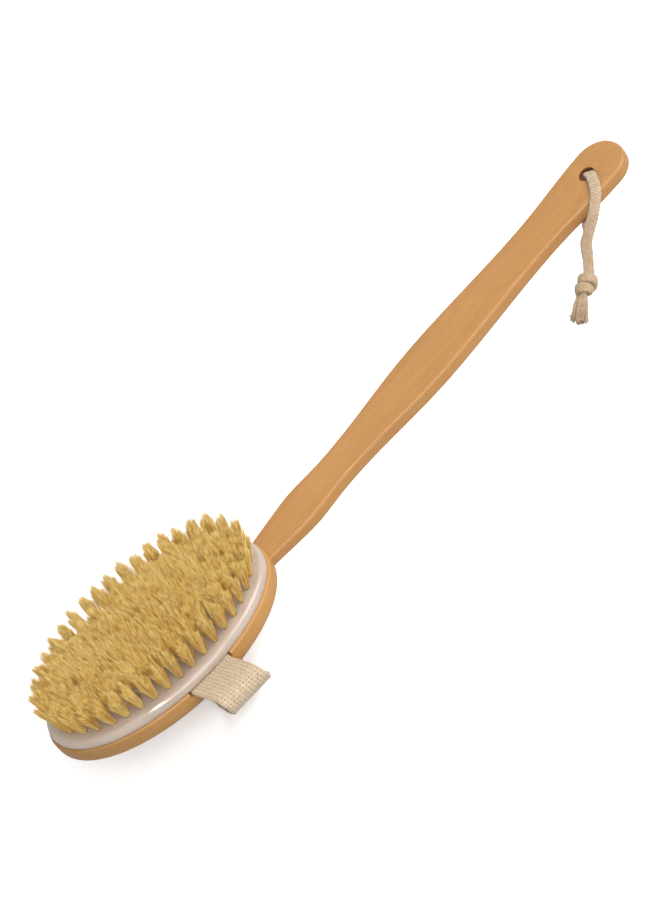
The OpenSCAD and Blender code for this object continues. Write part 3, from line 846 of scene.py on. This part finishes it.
def tuft(base, tip, per_tuft, edge, rng):
    """Points, along, tone and clump of one tuft's hairs, each per hair, level and side."""
    normal = rng.standard_normal
    beside = min(np.linalg.norm(screw - base[:2]) for screw in SCREWS) < 9.5
    n = int(per_tuft * (1.45 if beside else 1.0))
    axis = tip - base
    axis = axis / np.linalg.norm(axis)
    side1 = np.cross(axis, [0.3, 1, 0.1])
    side1 /= np.linalg.norm(side1)
    side2 = np.cross(axis, side1)
    length = (TIP_TOP - PLATE_TOP) / axis[2] * (1.035 + 0.022 * normal())

    # a few big locks, one in the middle, each made of small pointed ones
    k = 5
    big_angle = np.arange(k) * 2 * np.pi / (k - 1) + rng.uniform(0, 6.28) + 0.35 * normal(k)
    big_r = rng.uniform(0.55, 0.95, k)
    big_r[0] = 0.12
    big = polar(big_r, big_angle)
    big_len = 1 + 0.018 * normal(k)
    m = 26
    golden_angle = 2.39996
    small = polar(np.sqrt((np.arange(m) + 0.5) / m),
                  np.arange(m) * golden_angle + rng.uniform(0, 6.28)) + 0.06 * normal((m, 2))
    parent = np.linalg.norm(small[:, None] - big[None], axis=2).argmin(1)
    top = mix(small, big[parent], mix(0.04, 0.36, edge))
    lock_len = big_len[parent] * (1 + 0.020 * normal(m))
    lock_shift = 0.42 * normal((m, 2))

    # every hair joins the small lock closest to its root
    angle = rng.uniform(0, 2 * np.pi, n)
    root = polar(np.sqrt(rng.uniform(0, 1, n)), angle)
    distance = np.linalg.norm(root[:, None] - small[None], axis=2)
    own = (distance + 0.06 * rng.uniform(0, 1, (n, m))).argmin(1)
    from_lock = root - small[own]
    gap = np.linalg.norm(from_lock, axis=1)

    # outer tufts stay apart along the rim but reach in over the next ring
    out = np.array([base[0] / PLATE_X ** 2, base[1] / PLATE_Y ** 2, 0.0])
    out /= np.linalg.norm(out)
    outward = np.array([out @ side1, out @ side2])
    outward /= np.linalg.norm(outward)
    near = np.clip(-out[1], 0, 1) * edge
    along_rim = mix(5.3, 3.7, edge) - 0.4 * near
    radial = top @ outward
    reach = np.where(radial < 0, mix(5.3, 5.6, edge), mix(5.3, 3.3, edge))
    wide = top * along_rim + (radial * (reach - along_rim))[:, None] * outward
    sideways = np.linalg.norm(top - radial[:, None] * outward, axis=1)
    lock_len *= (mix(1.03, 1.13, edge) - 0.02 * near - mix(0.05, 0.38, edge) * sideways ** 2
                 - mix(0.05, 0.12, edge) * radial ** 2)
    tip_off = ((wide + lock_shift)[own] + from_lock * along_rim * mix(0.85, 0.60, edge)
               + normal((n, 2)) * mix(0.62, 0.42, edge))
    stray = rng.uniform(0, 1, n) < 0.07 + 0.07 * near
    tip_off[stray] += normal((stray.sum(), 2)) * 1.3
    # the outer tufts at the -X end lean inwards
    lean = normal(2) * 0.35 - outward * 2.4 * edge * np.clip((-base[0] - 42) / 16, 0, 1)
    bend = normal((m, 2))[own] * 0.40 + normal((n, 2)) * (0.34 + 0.08 * near)
    shape = lock_len[own] * (1.01 - mix(0.030, 0.060, edge) * np.minimum(gap / 0.20, 1.5) ** 2)
    hair_len = (length * shape * (1 + 0.020 * normal(n))
                * (1 - 0.18 * rng.uniform(0, 1, n) ** 6))
    root_off = root * mix(1.42, 1.24, edge)
    turn = rng.uniform(0, 2 * np.pi, n)
    size = rng.uniform(0.78, 1.18, n)

    # the hairs beside a screw close over the gap above it
    end = base + axis * hair_len[:, None] + side1 * tip_off[:, :1] + side2 * tip_off[:, 1:2]
    cover = np.zeros((n, 3))
    pull = mix(0.88, 0.12 + 0.70 * np.clip(0.35 - root @ outward, 0, 1), edge)
    for screw in SCREWS:
        d = screw - end[:, :2]
        cover[:, :2] += d * (pull * np.exp(-(np.linalg.norm(d, axis=1) / 8.0) ** 2))[:, None]

    dims = (n, len(LEVELS), 3)
    hairs = np.zeros((*dims, 3))
    for i, level in enumerate(LEVELS):
        t = max(level, 0.0)
        f = t ** mix(0.86, 1.08, edge)
        off = root_off * (1 - f) + (tip_off + lean) * f + bend * (t * (1 - t)) * 2.0
        p = (base + axis * (hair_len * level)[:, None] + side1 * off[:, :1]
             + side2 * off[:, 1:2] + cover * t ** 1.4)
        for c in range(3):
            w = turn + c * 2 * np.pi / 3
            spoke = side1 * np.cos(w)[:, None] + side2 * np.sin(w)[:, None]
            hairs[:, i, c] = p + spoke * (HAIR_R[i] * size)[:, None]
    along = np.clip(LEVELS, 0, 1)[None, :, None] * mix(1, shape, 0.5)[:, None, None]
    tone = rng.uniform(0, 1, n)
    clump = 0.75 * rng.uniform(0, 1, m)[own] + 0.25 * rng.uniform()
    return (hairs, np.broadcast_to(along, dims), np.broadcast_to(tone[:, None, None], dims),
            np.broadcast_to(clump[:, None, None], dims))


def bristles(ring, per_tuft, edge, seed):
    rng = np.random.default_rng(seed)
    tufts = [tuft(base, tip, per_tuft, edge, rng) for base, tip in TUFTS[ring]]
    hairs, *fields = [np.concatenate(field) for field in zip(*tufts)]
    per_hair = len(LEVELS) * 3
    starts = (np.arange(len(hairs)) * per_hair)[:, None, None]
    caps = np.array([[per_hair - 3, per_hair - 2, per_hair - 1], [2, 1, 0]])
    attrs = {key: field.ravel() for key, field in zip(("along", "tone", "clump"), fields)}
    return build("bristles_" + ring, from_head(hairs.reshape(-1, 3)),
                 ring_quads(len(LEVELS), 3)[None] + starts, caps[None] + starts, attrs)


for i, (ring, per_tuft, edge) in enumerate(TUFT_RINGS):
    ob = bristles(ring, per_tuft, edge, seed=700 + i)
    finish_piece(ob, mat_bristle, "head", "tufts_" + ring)


# ------------------------------------------------------------------ the strap
STRAP_LOW = -STRAP_DROP + STRAP_T / 2
STRAP_EXIT = HEAD_Y + 0.4     # where it leaves the head, on both sides


def strap_loop():
    """(y, z) along the middle of the webbing, from the near clamp round to the far one."""
    clamp = -STRAP_T / 2 - 0.75
    out, low = STRAP_EXIT, STRAP_LOW
    near_y, far_y = STRAP_NEAR - STRAP_T / 2 - 0.6, STRAP_FAR - STRAP_T / 2
    start = [[22, clamp], [30, clamp], [out - 1, clamp]]
    # control points (distance from the middle, z) of the Bezier pieces
    near = [
        [[out - 1, clamp], [out + 5, clamp + 1.0], [near_y - 12, 0.5], [near_y - 6, 1.1]],
        [[near_y - 6, 1.1], [near_y - 2.4, 1.5], [near_y, 0.4], [near_y, -3.8]],
        [[near_y, -3.8], [near_y, -8.2], [near_y - 3.4, -11], [near_y - 6, -13.4]],
        [[near_y - 6, -13.4], [near_y - 14, -20.8], [36, low], [24, low]]]
    far = [
        [[out - 1, clamp], [out + 4, clamp], [far_y, -1.5], [far_y, -8]],
        [[far_y, -8], [far_y, -18], [far_y - 5, low + 14], [far_y - 10, low + 8]],
        [[far_y - 10, low + 8], [far_y - 14, low + 3.2], [32, low], [24, low]]]
    t = np.linspace(0, 1, 40)[1:]
    near, far = [np.concatenate([start, *[bezier(p, t) for p in pieces], [[12, low], [0, low]]])
                 for pieces in (near, far)]
    return np.concatenate([near * [-1, 1], far[-2::-1]])


def strap_profile(half_w, n_flat):
    """(across, height, side) round the webbing; height and side run from -1 to 1."""
    r = 0.75
    flat = half_w - r
    profile = []
    for side in (1.0, -1.0):
        profile += [(q * flat, side, side) for q in np.linspace(-side, side, n_flat)]
        for k in range(1, 6):
            a = side * math.pi / 2 - k * math.pi / 6
            profile.append((side * flat + r * math.cos(a), math.sin(a), 0.0))
    return np.array(profile)


def strap():
    step = 0.42
    path, s = resample(strap_loop(), step)
    path = blur(path, 0.9 / step)
    total = s[-1]
    from_end = np.minimum(s, total - s)
    out = STRAP_EXIT
    drift = (STRAP_DRIFT * np.sin(np.pi / 2 * np.clip((from_end - (out - 23)) / 48, 0, 1))
             * (1 - 0.20 * smooth((from_end - out - 38) / 28)))
    d = unit_rows(np.gradient(path, axis=0))
    normal = np.stack([-d[:, 1], d[:, 0]], -1)
    free = smooth((from_end - (out - 22)) / 6)[:, None]
    # soft unevenness of the free webbing
    rng = np.random.default_rng(5)
    uneven = [np.interp(s, np.linspace(0, total, n), rng.standard_normal(n)) for n in (24, 17)]
    cup_wave, ripple_wave = [blur(w[:, None], 12 / step / 2) for w in uneven]

    half_w, half_t = STRAP_W / 2 - 0.05, 0.80
    profile = strap_profile(half_w, 62)
    across, height, side = profile.T[:, None]
    s_col = s[:, None]
    cell = np.sin(np.pi * across / WEB_PITCH[0]) * np.sin(np.pi * s_col / WEB_PITCH[1])
    relief = 0.08 * (np.sqrt(np.abs(cell)) - 0.5) + 0.04 * np.sign(cell) * np.abs(cell) ** 0.5
    edge_cord = 0.10 * np.exp(-((np.abs(across) - (half_w - 0.9)) / 0.7) ** 2)
    # cupping: the free webbing is a little hollow across its width
    cup = 0.15 * free * ((across / half_w) ** 2 - 0.4) * (0.6 + 0.4 * cup_wave)
    ripple = 0.10 * free * ripple_wave * (across / half_w)
    edge_wave = (0.12 * free * np.sin(2 * np.pi * s_col / 7.3) * np.sign(across)
                 * (np.abs(across) > half_w - 1))
    x = STRAP_X + drift[:, None] + across + edge_wave
    lift = height * half_t + side * (relief + edge_cord) + cup + ripple
    # the slack near side hangs a little askew: its fold is not square to the head
    askew = (0.16 * smooth((from_end - out - 1) / 20)
             * (1 - smooth((from_end - out - 42) / 26)) * (s < total / 2))
    y = path[:, :1] + normal[:, :1] * lift + askew[:, None] * (across + half_w)
    z = np.maximum(path[:, 1:2] + normal[:, 1:2] * lift, -STRAP_DROP + 0.02)
    points, quads, tris = loft(np.stack([x, y, z], -1))
    weave = np.stack(np.broadcast_arrays(across, s_col, side * 3.0), -1).reshape(-1, 3)
    weave = np.concatenate([weave, weave[:1], weave[-1:]])
    return build("strap_webbing", from_head(points), quads, tris, {"weave": weave})


finish_piece(strap(), mat_web, "head", "hand_strap")


# ------------------------------------------------------------------ the handle
# (distance from the rim, half width)
STATIONS = [(0, NECK_W / 2), (27.7, 11.8), (55.4, 10.2), (127, 14.8), (HANDLE_OUT - 66, 12.0),
            (END_U, END_R)]


def half_w(u):
    if u <= 0:
        return tenon_w(u)
    if u >= END_U:
        return math.sqrt(max(0.0, END_R ** 2 - (u - END_U) ** 2))
    i = max(k for k in range(5) if u >= STATIONS[k][0])
    (u0, w0), (u1, w1) = STATIONS[i:i + 2]
    q = (u - u0) / (u1 - u0)
    return mix(w0, w1, q + 0.06 * math.sin(math.pi * q) if i == 0 else float(ease(q)))


def half_h(u):
    if u <= 0:
        return tenon_h(u)
    if u < HANDLE_OUT - 2.5:
        return mix(NECK_T / 2, HANDLE_T / 2, float(smooth(u / 38)))
    q = (u - HANDLE_OUT + 2.5) / 2.5
    return HANDLE_T / 2 - 2 * (1 - math.sqrt(max(0.0, 1 - q ** 2)))


def hole_cutter():
    """A solid of revolution that rounds both rims of the hanging hole."""
    half, rim, n = HANDLE_T / 2, 0.35, 64
    # (radius, height) from top to bottom
    profile = [(HOLE_R + rim + 0.4, half + 3)]
    for k in range(7):
        t = k * math.pi / 2 / 6
        profile.append((HOLE_R + rim - rim * math.sin(t), half + 0.02 - rim + rim * math.cos(t)))
    profile += [(r, -z) for r, z in profile[::-1]]
    angles = np.arange(n) * 2 * np.pi / n
    rings = [[(r * np.cos(a), r * np.sin(a), z) for a in angles] for r, z in profile]
    ends = [[0, 0, profile[0][1]], [0, 0, profile[-1][1]]]
    points, quads, tris = loft(rings, ends, flip=True)
    centre = np.array([HOLE_U + 0.29, 0.28, 0])
    return build("cut_hole", from_handle(points + centre), quads, tris)


def handle():
    us = list(np.arange(-TENON, -0.5, 4.0)) + [-0.3]
    us += list(np.arange(0.3, END_U, 1.6))
    us += [END_U + END_R * math.sin(k * math.pi / 2 / 46) for k in range(46)]
    us.append(HANDLE_OUT - 0.04)
    # width is eased across the stations so that no kink shows
    dense = np.linspace(0.3, END_U, 1500)
    eased = blur(np.array([half_w(u) for u in dense])[:, None], 14)[:, 0]
    rings = []
    for u in us:
        w = float(np.interp(u, dense, eased)) if 0.3 < u < END_U - 2 else half_w(u)
        h = half_h(u)
        r = 1.2 if u <= 0 else min(mix(1.2, 1.7, float(smooth(u / 45))), w * 0.85)
        rings.append([(u, y, z) for y, z in section(w, h, min(r, h * 0.95), 9)])
    ob = solid_loft("handle_wood", rings, from_handle)
    cut(ob, [hole_cutter()], angle=32)
    add_attr(ob.data, "grain", to_handle(coords(ob.data)))
    return ob


finish_piece(handle(), mat_handle, "handle", "handle")


# ------------------------------------------------------------------ the hanging cord
# Cord frame: (along the cord, sideways, height) from the hole. The cord points back
# towards the head and the near side, and its sideways axis towards the handle's end.
CORD_TURN = math.radians(46)
CORD_DIR = np.array([-math.sin(CORD_TURN), -math.cos(CORD_TURN)])
CORD_SIDE = np.array([math.cos(CORD_TURN), -math.sin(CORD_TURN)])
CORD_T = 1.9
FACE = HANDLE_T / 2 + CORD_T / 2 + 0.12     # height of the cord on the handle's face

# The strand, from the knot along the lower face, through the hole and back on the upper face
STRAND = [
    (59.4, 0.3, -0.95), (54.1, 0.1, -0.98), (48.6, -0.7, -0.98), (43.0, -1.5, -1.0),
    (38.0, -1.9, -1.3), (33.6, -1.9, -2.9), (28.5, -2.2, -4.7), (23.5, -3.2, -FACE),
    (18.0, -3.6, -FACE), (12.5, -3.0, -FACE), (7.5, -1.7, -FACE), (3.2, -0.5, -FACE + 0.1),
    (0.6, 0.2, -FACE + 1.1), (-0.3, 0.3, -2.2), (-0.3, 0.4, 0.0), (-0.2, 0.6, 2.2),
    (0.1, 1.2, FACE - 0.8),
    (1.3, 2.1, FACE + 0.10), (3.8, 3.5, FACE + 0.05), (10.0, 5.2, FACE), (15.7, 5.9, FACE),
    (20.6, 5.6, FACE + 0.02), (25.2, 5.3, FACE), (29.6, 4.2, 4.3), (33.8, 2.2, 2.8),
    (38.4, 0.3, 1.4), (43.0, -0.4, 0.98), (48.6, 0.2, 0.98), (54.1, 0.5, 0.98),
    (59.4, 0.6, 0.95)]
# The doubled cord inside the knot; its height changes sign for the lower strand
KNOT_CORE = [(57.5, 0.6, 0.95), (61.0, 0.7, 0.95), (65.0, 0.2, 1.1), (69.0, -1.0, 1.1),
             (73.0, -2.6, 0.9)]
# The wrap: angle round the knot in half turns, distance along, side, half width, half depth
KNOT_WRAP = [
    (1.34, 62.9, 0.3, 2.2, 1.9), (1.18, 63.4, 0.3, 3.3, 2.7), (1.0, 64.2, 0.2, 4.0, 3.1),
    (0.75, 64.7, 0.2, 4.05, 3.25), (0.5, 65.2, 0.2, 4.05, 3.3), (0.25, 65.8, 0.2, 4.05, 3.25),
    (0.0, 66.5, 0.2, 4.0, 3.1), (-0.25, 67.2, 0.0, 3.9, 3.1), (-0.5, 67.9, -0.4, 3.8, 3.1),
    (-0.75, 68.7, -0.9, 3.7, 3.1), (-1.0, 69.6, -1.3, 3.75, 3.1), (-1.25, 70.1, -1.5, 3.6, 3.0),
    (-1.5, 70.4, -1.5, 3.5, 2.9), (-1.75, 70.7, -1.4, 3.4, 2.8), (-2.0, 70.9, -1.3, 3.3, 2.6),
    (-2.2, 71.1, -1.3, 2.7, 2.0), (-2.35, 71.2, -1.3, 1.8, 1.4)]
# Start, end, width at the start, half width at the end, skew of the frayed end
TAILS = [((72.2, -3.8, -0.45), (86.0, -6.9, -0.6), 3.5, 2.0, 1.0),
         ((72.6, -1.9, 0.55), (90.2, -2.1, 0.6), 4.0, 2.8, 0.2)]


def from_cord(p):
    uy = p[..., :1] * CORD_DIR + p[..., 1:2] * CORD_SIDE
    return from_handle(np.concatenate([uy[..., :1] + HOLE_U, uy[..., 1:2], p[..., 2:3]], -1))


def ribbon(path, s, face, width, thick, s0=0.0):
    """Flat braid along a path; face is where its flat side looks, s0 shifts the braid."""
    relief, n = 0.20, 15
    d = unit_rows(np.gradient(path, axis=0))
    face = unit_rows(face - (face * d).sum(1)[:, None] * d)
    side = np.cross(face, d)
    thick = np.broadcast_to(thick, len(path))
    # (across, height, side) round the cord
    profile = []
    for q in range(n):
        a = math.pi * (1 - q / (n - 1))
        profile.append((math.copysign(abs(math.cos(a)) ** 0.72, math.cos(a)),
                        abs(math.sin(a)) ** 0.55, 1.0))
    profile += [(-x, -y, -1.0) for x, y, _ in profile[1:-1]]
    across, height, sign = np.array(profile).T[:, None]
    x = across * width[:, None] / 2
    y = height * thick[:, None] / 2
    along = s[:, None] + s0
    p = np.pi * (along + x * BRAID_SLOPE) / BRAID_PITCH
    q = np.pi * (along - x * BRAID_SLOPE) / BRAID_PITCH
    strands = np.sqrt(np.abs(np.sin(p) * np.sin(q)))
    raised = relief * (strands - 0.5) * np.sign(height) * np.minimum(1, np.abs(height) * 2)
    edge = (0.10 * np.sin(2 * np.pi * along / BRAID_PITCH + (across > 0) * np.pi)
            * (np.abs(across) > 0.9))
    rings = (path[:, None] + side[:, None] * (x + edge * np.sign(x))[..., None]
             + face[:, None] * (y + raised)[..., None])
    attr = np.stack(np.broadcast_arrays(x, along, sign * 2.0), -1).reshape(-1, 3)
    attr = np.concatenate([attr, [[0, s0, 2.0], [0, s0 + s[-1], 2.0]]])
    return *loft(rings, [path[0], path[-1]]), attr


def yarn(points, step, radii, s0, tone=0.0, n=6):
    """A round yarn through the points, its radius running between the two radii."""
    path, _ = catmull(points, step)
    k = len(path)
    d = unit_rows(np.gradient(path, axis=0))
    e1 = unit_rows(np.cross(d, np.tile([0.2, 0.3, 1.0], (k, 1))))
    e2 = np.cross(d, e1)
    a = np.arange(n) * 2 * np.pi / n
    spokes = e1[:, None] * np.cos(a)[None, :, None] + e2[:, None] * np.sin(a)[None, :, None]
    rings = path[:, None] + spokes * np.linspace(*radii, k)[:, None, None]
    attr = np.zeros((k * n + 2, 3))
    attr[:-2, 0] = np.tile(np.cos(a) * 0.4, k) + tone
    attr[:-2, 1] = np.repeat(np.arange(k) * 0.5, n) + s0
    attr[-2:, 1] = s0
    return *loft(rings, [path[0], path[-1]]), attr


def cord_strand(step):
    path, s = catmull(STRAND, step)
    # the flat side looks away from the middle of the loop
    face = np.cross(unit_rows(np.gradient(path, axis=0)), [0.0, 1.0, 0.0])
    width = np.interp(path[:, 0], [0, 40, 48, 54, 59.5], [5.7, 5.8, 5.6, 5.0, 4.6])
    # drawn in a little where it passes the hole
    width = width - 0.75 * np.exp(-(path[:, 0] / 3.0) ** 2)
    return ribbon(path, s, face, width, CORD_T)


def knot_core(step, sign):
    path, s = catmull(np.array(KNOT_CORE) * [1, 1, sign], step)
    face = np.tile([0.0, 0.0, 1.0 * sign], (len(path), 1))
    width = np.interp(path[:, 0], [58, 61, 66, 73], [4.6, 4.8, 6.0, 4.6])
    return ribbon(path, s, face, width, thick=2.0, s0=60)


def knot_wrap(step):
    turn, along, side, half_width, half_depth = np.array(KNOT_WRAP).T
    turn = math.pi * turn
    path, s = catmull(np.stack([along, side + half_width * np.cos(turn),
                                half_depth * np.sin(turn)], -1), step)
    x = path[:, 0]
    face = path - np.stack([x, np.interp(x, [62, 66, 72], [0.3, 0.1, -1.4]), 0 * x], -1)
    face[:, 0] = 0.10 * (x - 67.0)
    width = np.interp(s, [0, 3, s[-1] - 3, s[-1]], [4.2, 5.5, 5.3, 4.0])
    return ribbon(path, s, face, width, thick=2.4, s0=83)


def knot_filling():
    """A plain lump, seen only between the wraps."""
    m, k = 20, 13
    t = np.arange(m) * 2 * np.pi / m
    rings = []
    for i in range(1, k):
        v = math.pi * i / k
        rings.append(np.stack([67.2 - 5.3 * math.cos(v) + 0 * t,
                               -0.7 + 3.7 * math.sin(v) * np.cos(t) + 0.9 * math.cos(v),
                               2.6 * math.sin(v) * np.sin(t)], -1))
    lump = loft(rings, ends=[[61.9, 0.2, 0], [72.5, -1.6, 0]], flip=True)
    return *lump, lump[0][:, [1, 0, 2]]


def tail(index, step, rng):
    """A short braided stem that frays into three layers of yarns and loose fibres."""
    start, end, w0, half, skew = TAILS[index]
    start, end = np.array(start), np.array(end)
    stem, s = catmull([start, mix(start, end, 0.2) + [0, 0, 0.1], mix(start, end, 0.42)], step)
    face = np.tile([0.0, 0.12 * (1 - 2 * index), 1.0], (len(stem), 1))
    t = s / s[-1]
    parts = [ribbon(stem, s, face, mix(w0, w0 + 0.3, t), mix(2.2, 1.7, t), s0=140 + 30 * index)]
    count = 12
    inner = w0 / 2 - 0.3
    for k in range(3 * count):
        f = (k % count) / (count - 1) * 2 - 1
        layer = (-0.75, 0.0, 0.75)[k // count]
        wobble = rng.normal() * 0.16
        p0 = mix(start, end, 0.10) + np.array([0, f * (w0 / 2 - 0.35), layer * 1.0])
        p1 = mix(start, end, 0.40) + np.array(
            [0, f * mix(inner, half, 0.35) + wobble, layer * 1.1 + rng.normal() * 0.08])
        p2 = mix(start, end, 0.72) + np.array(
            [0, f * mix(inner, half, 0.75) - wobble, layer * 1.0 + rng.normal() * 0.12])
        p3 = end + np.array([rng.normal() * 0.55 + skew * (f + 0.4) * 1.1 - 0.5 * f * f,
                             f * half + rng.normal() * 0.22, layer * 1.1 + rng.normal() * 0.3])
        parts.append(yarn([p0, p1, p2, p3], step=0.5, radii=(0.33, 0.24), s0=200 + 7 * k,
                          tone=rng.uniform(-0.6, 0.6)))
    for k in range(70):
        a = rng.uniform(-1, 1)
        g = rng.uniform(0.55, 1.0)
        p0 = mix(start, end, g) + np.array([0, a * mix(w0 / 2, half, g), rng.normal() * 0.6])
        p1 = p0 + np.array([rng.uniform(0.6, 1.8), a * 0.5 + rng.normal() * 0.35,
                            rng.normal() * 0.4])
        p2 = p1 + np.array([rng.uniform(0.2, 1.2), a * 0.5 + rng.normal() * 0.6,
                            rng.normal() * 0.5])
        parts.append(yarn([p0, p1, p2], step=0.4, radii=(0.06, 0.03), s0=300 + k, n=4))
    return parts


def cord():
    step = 0.36
    parts = [cord_strand(step), knot_core(step, 1), knot_core(step, -1), knot_wrap(step),
             knot_filling()]
    rng = np.random.default_rng(91)
    for index in range(len(TAILS)):
        parts += tail(index, step, rng)
    points, quads, tris, attr = merge(parts)
    return build("cord_braid", from_cord(points), quads, tris, {"braid": attr})


finish_piece(cord(), mat_cord, "cord", "hanging_cord")

# ------------------------------------------------------------------ fasteners keep their CAD shape
screw_steel = steel("screw_steel", tone=(205, 205, 210), rough=0.24, brushed=(0.5, 6.0, 6.0))
tack_steel = steel("tack_steel", tone=(190, 190, 194), rough=0.34, brushed=(6.0, 6.0, 0.8))
anchor_steel = steel("anchor_steel", tone=(200, 198, 196), rough=0.28, brushed=(5.0, 5.0, 0.6))
set_material(frame["nodes"]["plate_screws"], screw_steel)
for side in ("near", "far"):
    set_material(frame["nodes"]["strap_tacks_" + side], tack_steel)
for ring in TUFTS:
    set_material(frame["nodes"]["anchors_" + ring], anchor_steel)


# ------------------------------------------------------------------ floor, light, camera
def floor():
    s = Shader("pale_floor")
    cloud = s.noise(s.object_mm(), scale=0.02)
    # the floor looks white but throws less light back up than white paper would
    seen = s.node("LightPath").outputs["Is Camera Ray"]
    pale = s.mix(cloud, (0.955, 0.955, 0.955, 1), (0.975, 0.975, 0.975, 1))
    s.set(color=s.tint(pale, s.line(seen, span=(0.0, 1.0), to=(0.58, 1.0))), rough=0.9,
          spec=0.05, glow=(1.0, 1.0, 1.0, 1.0), glow_level=s.mul(seen, 0.34))
    half, z = 4, min(cad_lo.z, 0.0) - 0.0003
    corners = [[-half, -half, z], [half, -half, z], [half, half, z], [-half, half, z]]
    ob = build("floor", corners, [[0, 1, 2, 3]])
    ob.data.materials.append(s.mat)


def area(name, size_x, size_y, power, location, rotation):
    """A rectangular light; sizes and places in metres, power in watts."""
    light = bpy.data.lights.new(name, "AREA")
    light.shape = "RECTANGLE"
    light.size = size_x
    light.size_y = size_y
    light.energy = power
    ob = bpy.data.objects.new(name, light)
    bpy.context.scene.collection.objects.link(ob)
    ob.location = location
    ob.rotation_mode = "QUATERNION"
    ob.rotation_quaternion = rotation
    return ob


def softbox(name, direction, distance, size, power):
    """A square light that looks at the brush from the given direction."""
    d = Vector(direction).normalized()
    area(name, size, size, power, location=Vector((0.10, 0, 0.03)) + d * distance,
         rotation=(-d).to_track_quat("-Z", "Y"))


def strip_light():
    """A narrow strip that only shows as a reflection, on the near border of the plate."""
    spot = Vector((CENTRE_X - 0.0222, -0.0365, SEAM + 0.0042))
    z_axis = Vector((-0.178, -0.394, 0.901)).normalized()
    y_axis = Vector((0.188, 0.982, 0.0))
    y_axis = (y_axis - z_axis * y_axis.dot(z_axis)).normalized()
    axes = Matrix((y_axis.cross(z_axis), y_axis, z_axis)).transposed()
    strip = area("strip", size_x=0.085, size_y=0.8, power=4.6, location=spot + z_axis,
                 rotation=axes.to_quaternion())
    strip.visible_diffuse = False


def sky():
    """Soft sky light; the backdrop itself is shown white."""
    world = bpy.data.worlds.new("studio")
    bpy.context.scene.world = world
    world.use_nodes = True
    nt = world.node_tree
    background = nt.nodes["Background"]
    background.inputs[0].default_value = (1.0, 1.0, 1.0, 1)
    light_path = nt.nodes.new("ShaderNodeLightPath")
    level = nt.nodes.new("ShaderNodeMapRange")
    level.inputs["To Min"].default_value = 0.60
    level.inputs["To Max"].default_value = 0.98
    nt.links.new(light_path.outputs["Is Camera Ray"], level.inputs["Value"])
    nt.links.new(level.outputs["Result"], background.inputs[1])


def camera():
    cam = bpy.data.cameras.new("camera")
    ob = bpy.data.objects.new("camera", cam)
    bpy.context.scene.collection.objects.link(ob)
    right = Vector((0.7153663763, -0.5588848116, -0.4194028076))
    down = Vector((-0.6778901743, -0.4095323130, -0.6105310772))
    ahead = Vector((0.1694575441, 0.7210624467, -0.6718281691))
    place = Vector((CENTRE_X - 0.057428, -0.775302, SEAM + 0.737704))
    axes = Matrix((right, -down, -ahead)).transposed()
    ob.matrix_world = Matrix.Translation(place) @ axes.to_4x4()
    cam.sensor_width = 36.0
    cam.lens = 88.0464
    cam.clip_start, cam.clip_end = 0.05, 50
    bpy.context.scene.camera = ob


floor()
softbox("key", direction=(0.62, -0.28, 0.80), distance=1.5, size=1.0, power=15.0)
softbox("front", direction=(-0.02, -0.72, 0.70), distance=1.9, size=1.1, power=17.0)
strip_light()
sky()
camera()
bpy.context.scene.view_settings.view_transform = "Standard"
bpy.context.scene.view_settings.look = "None"
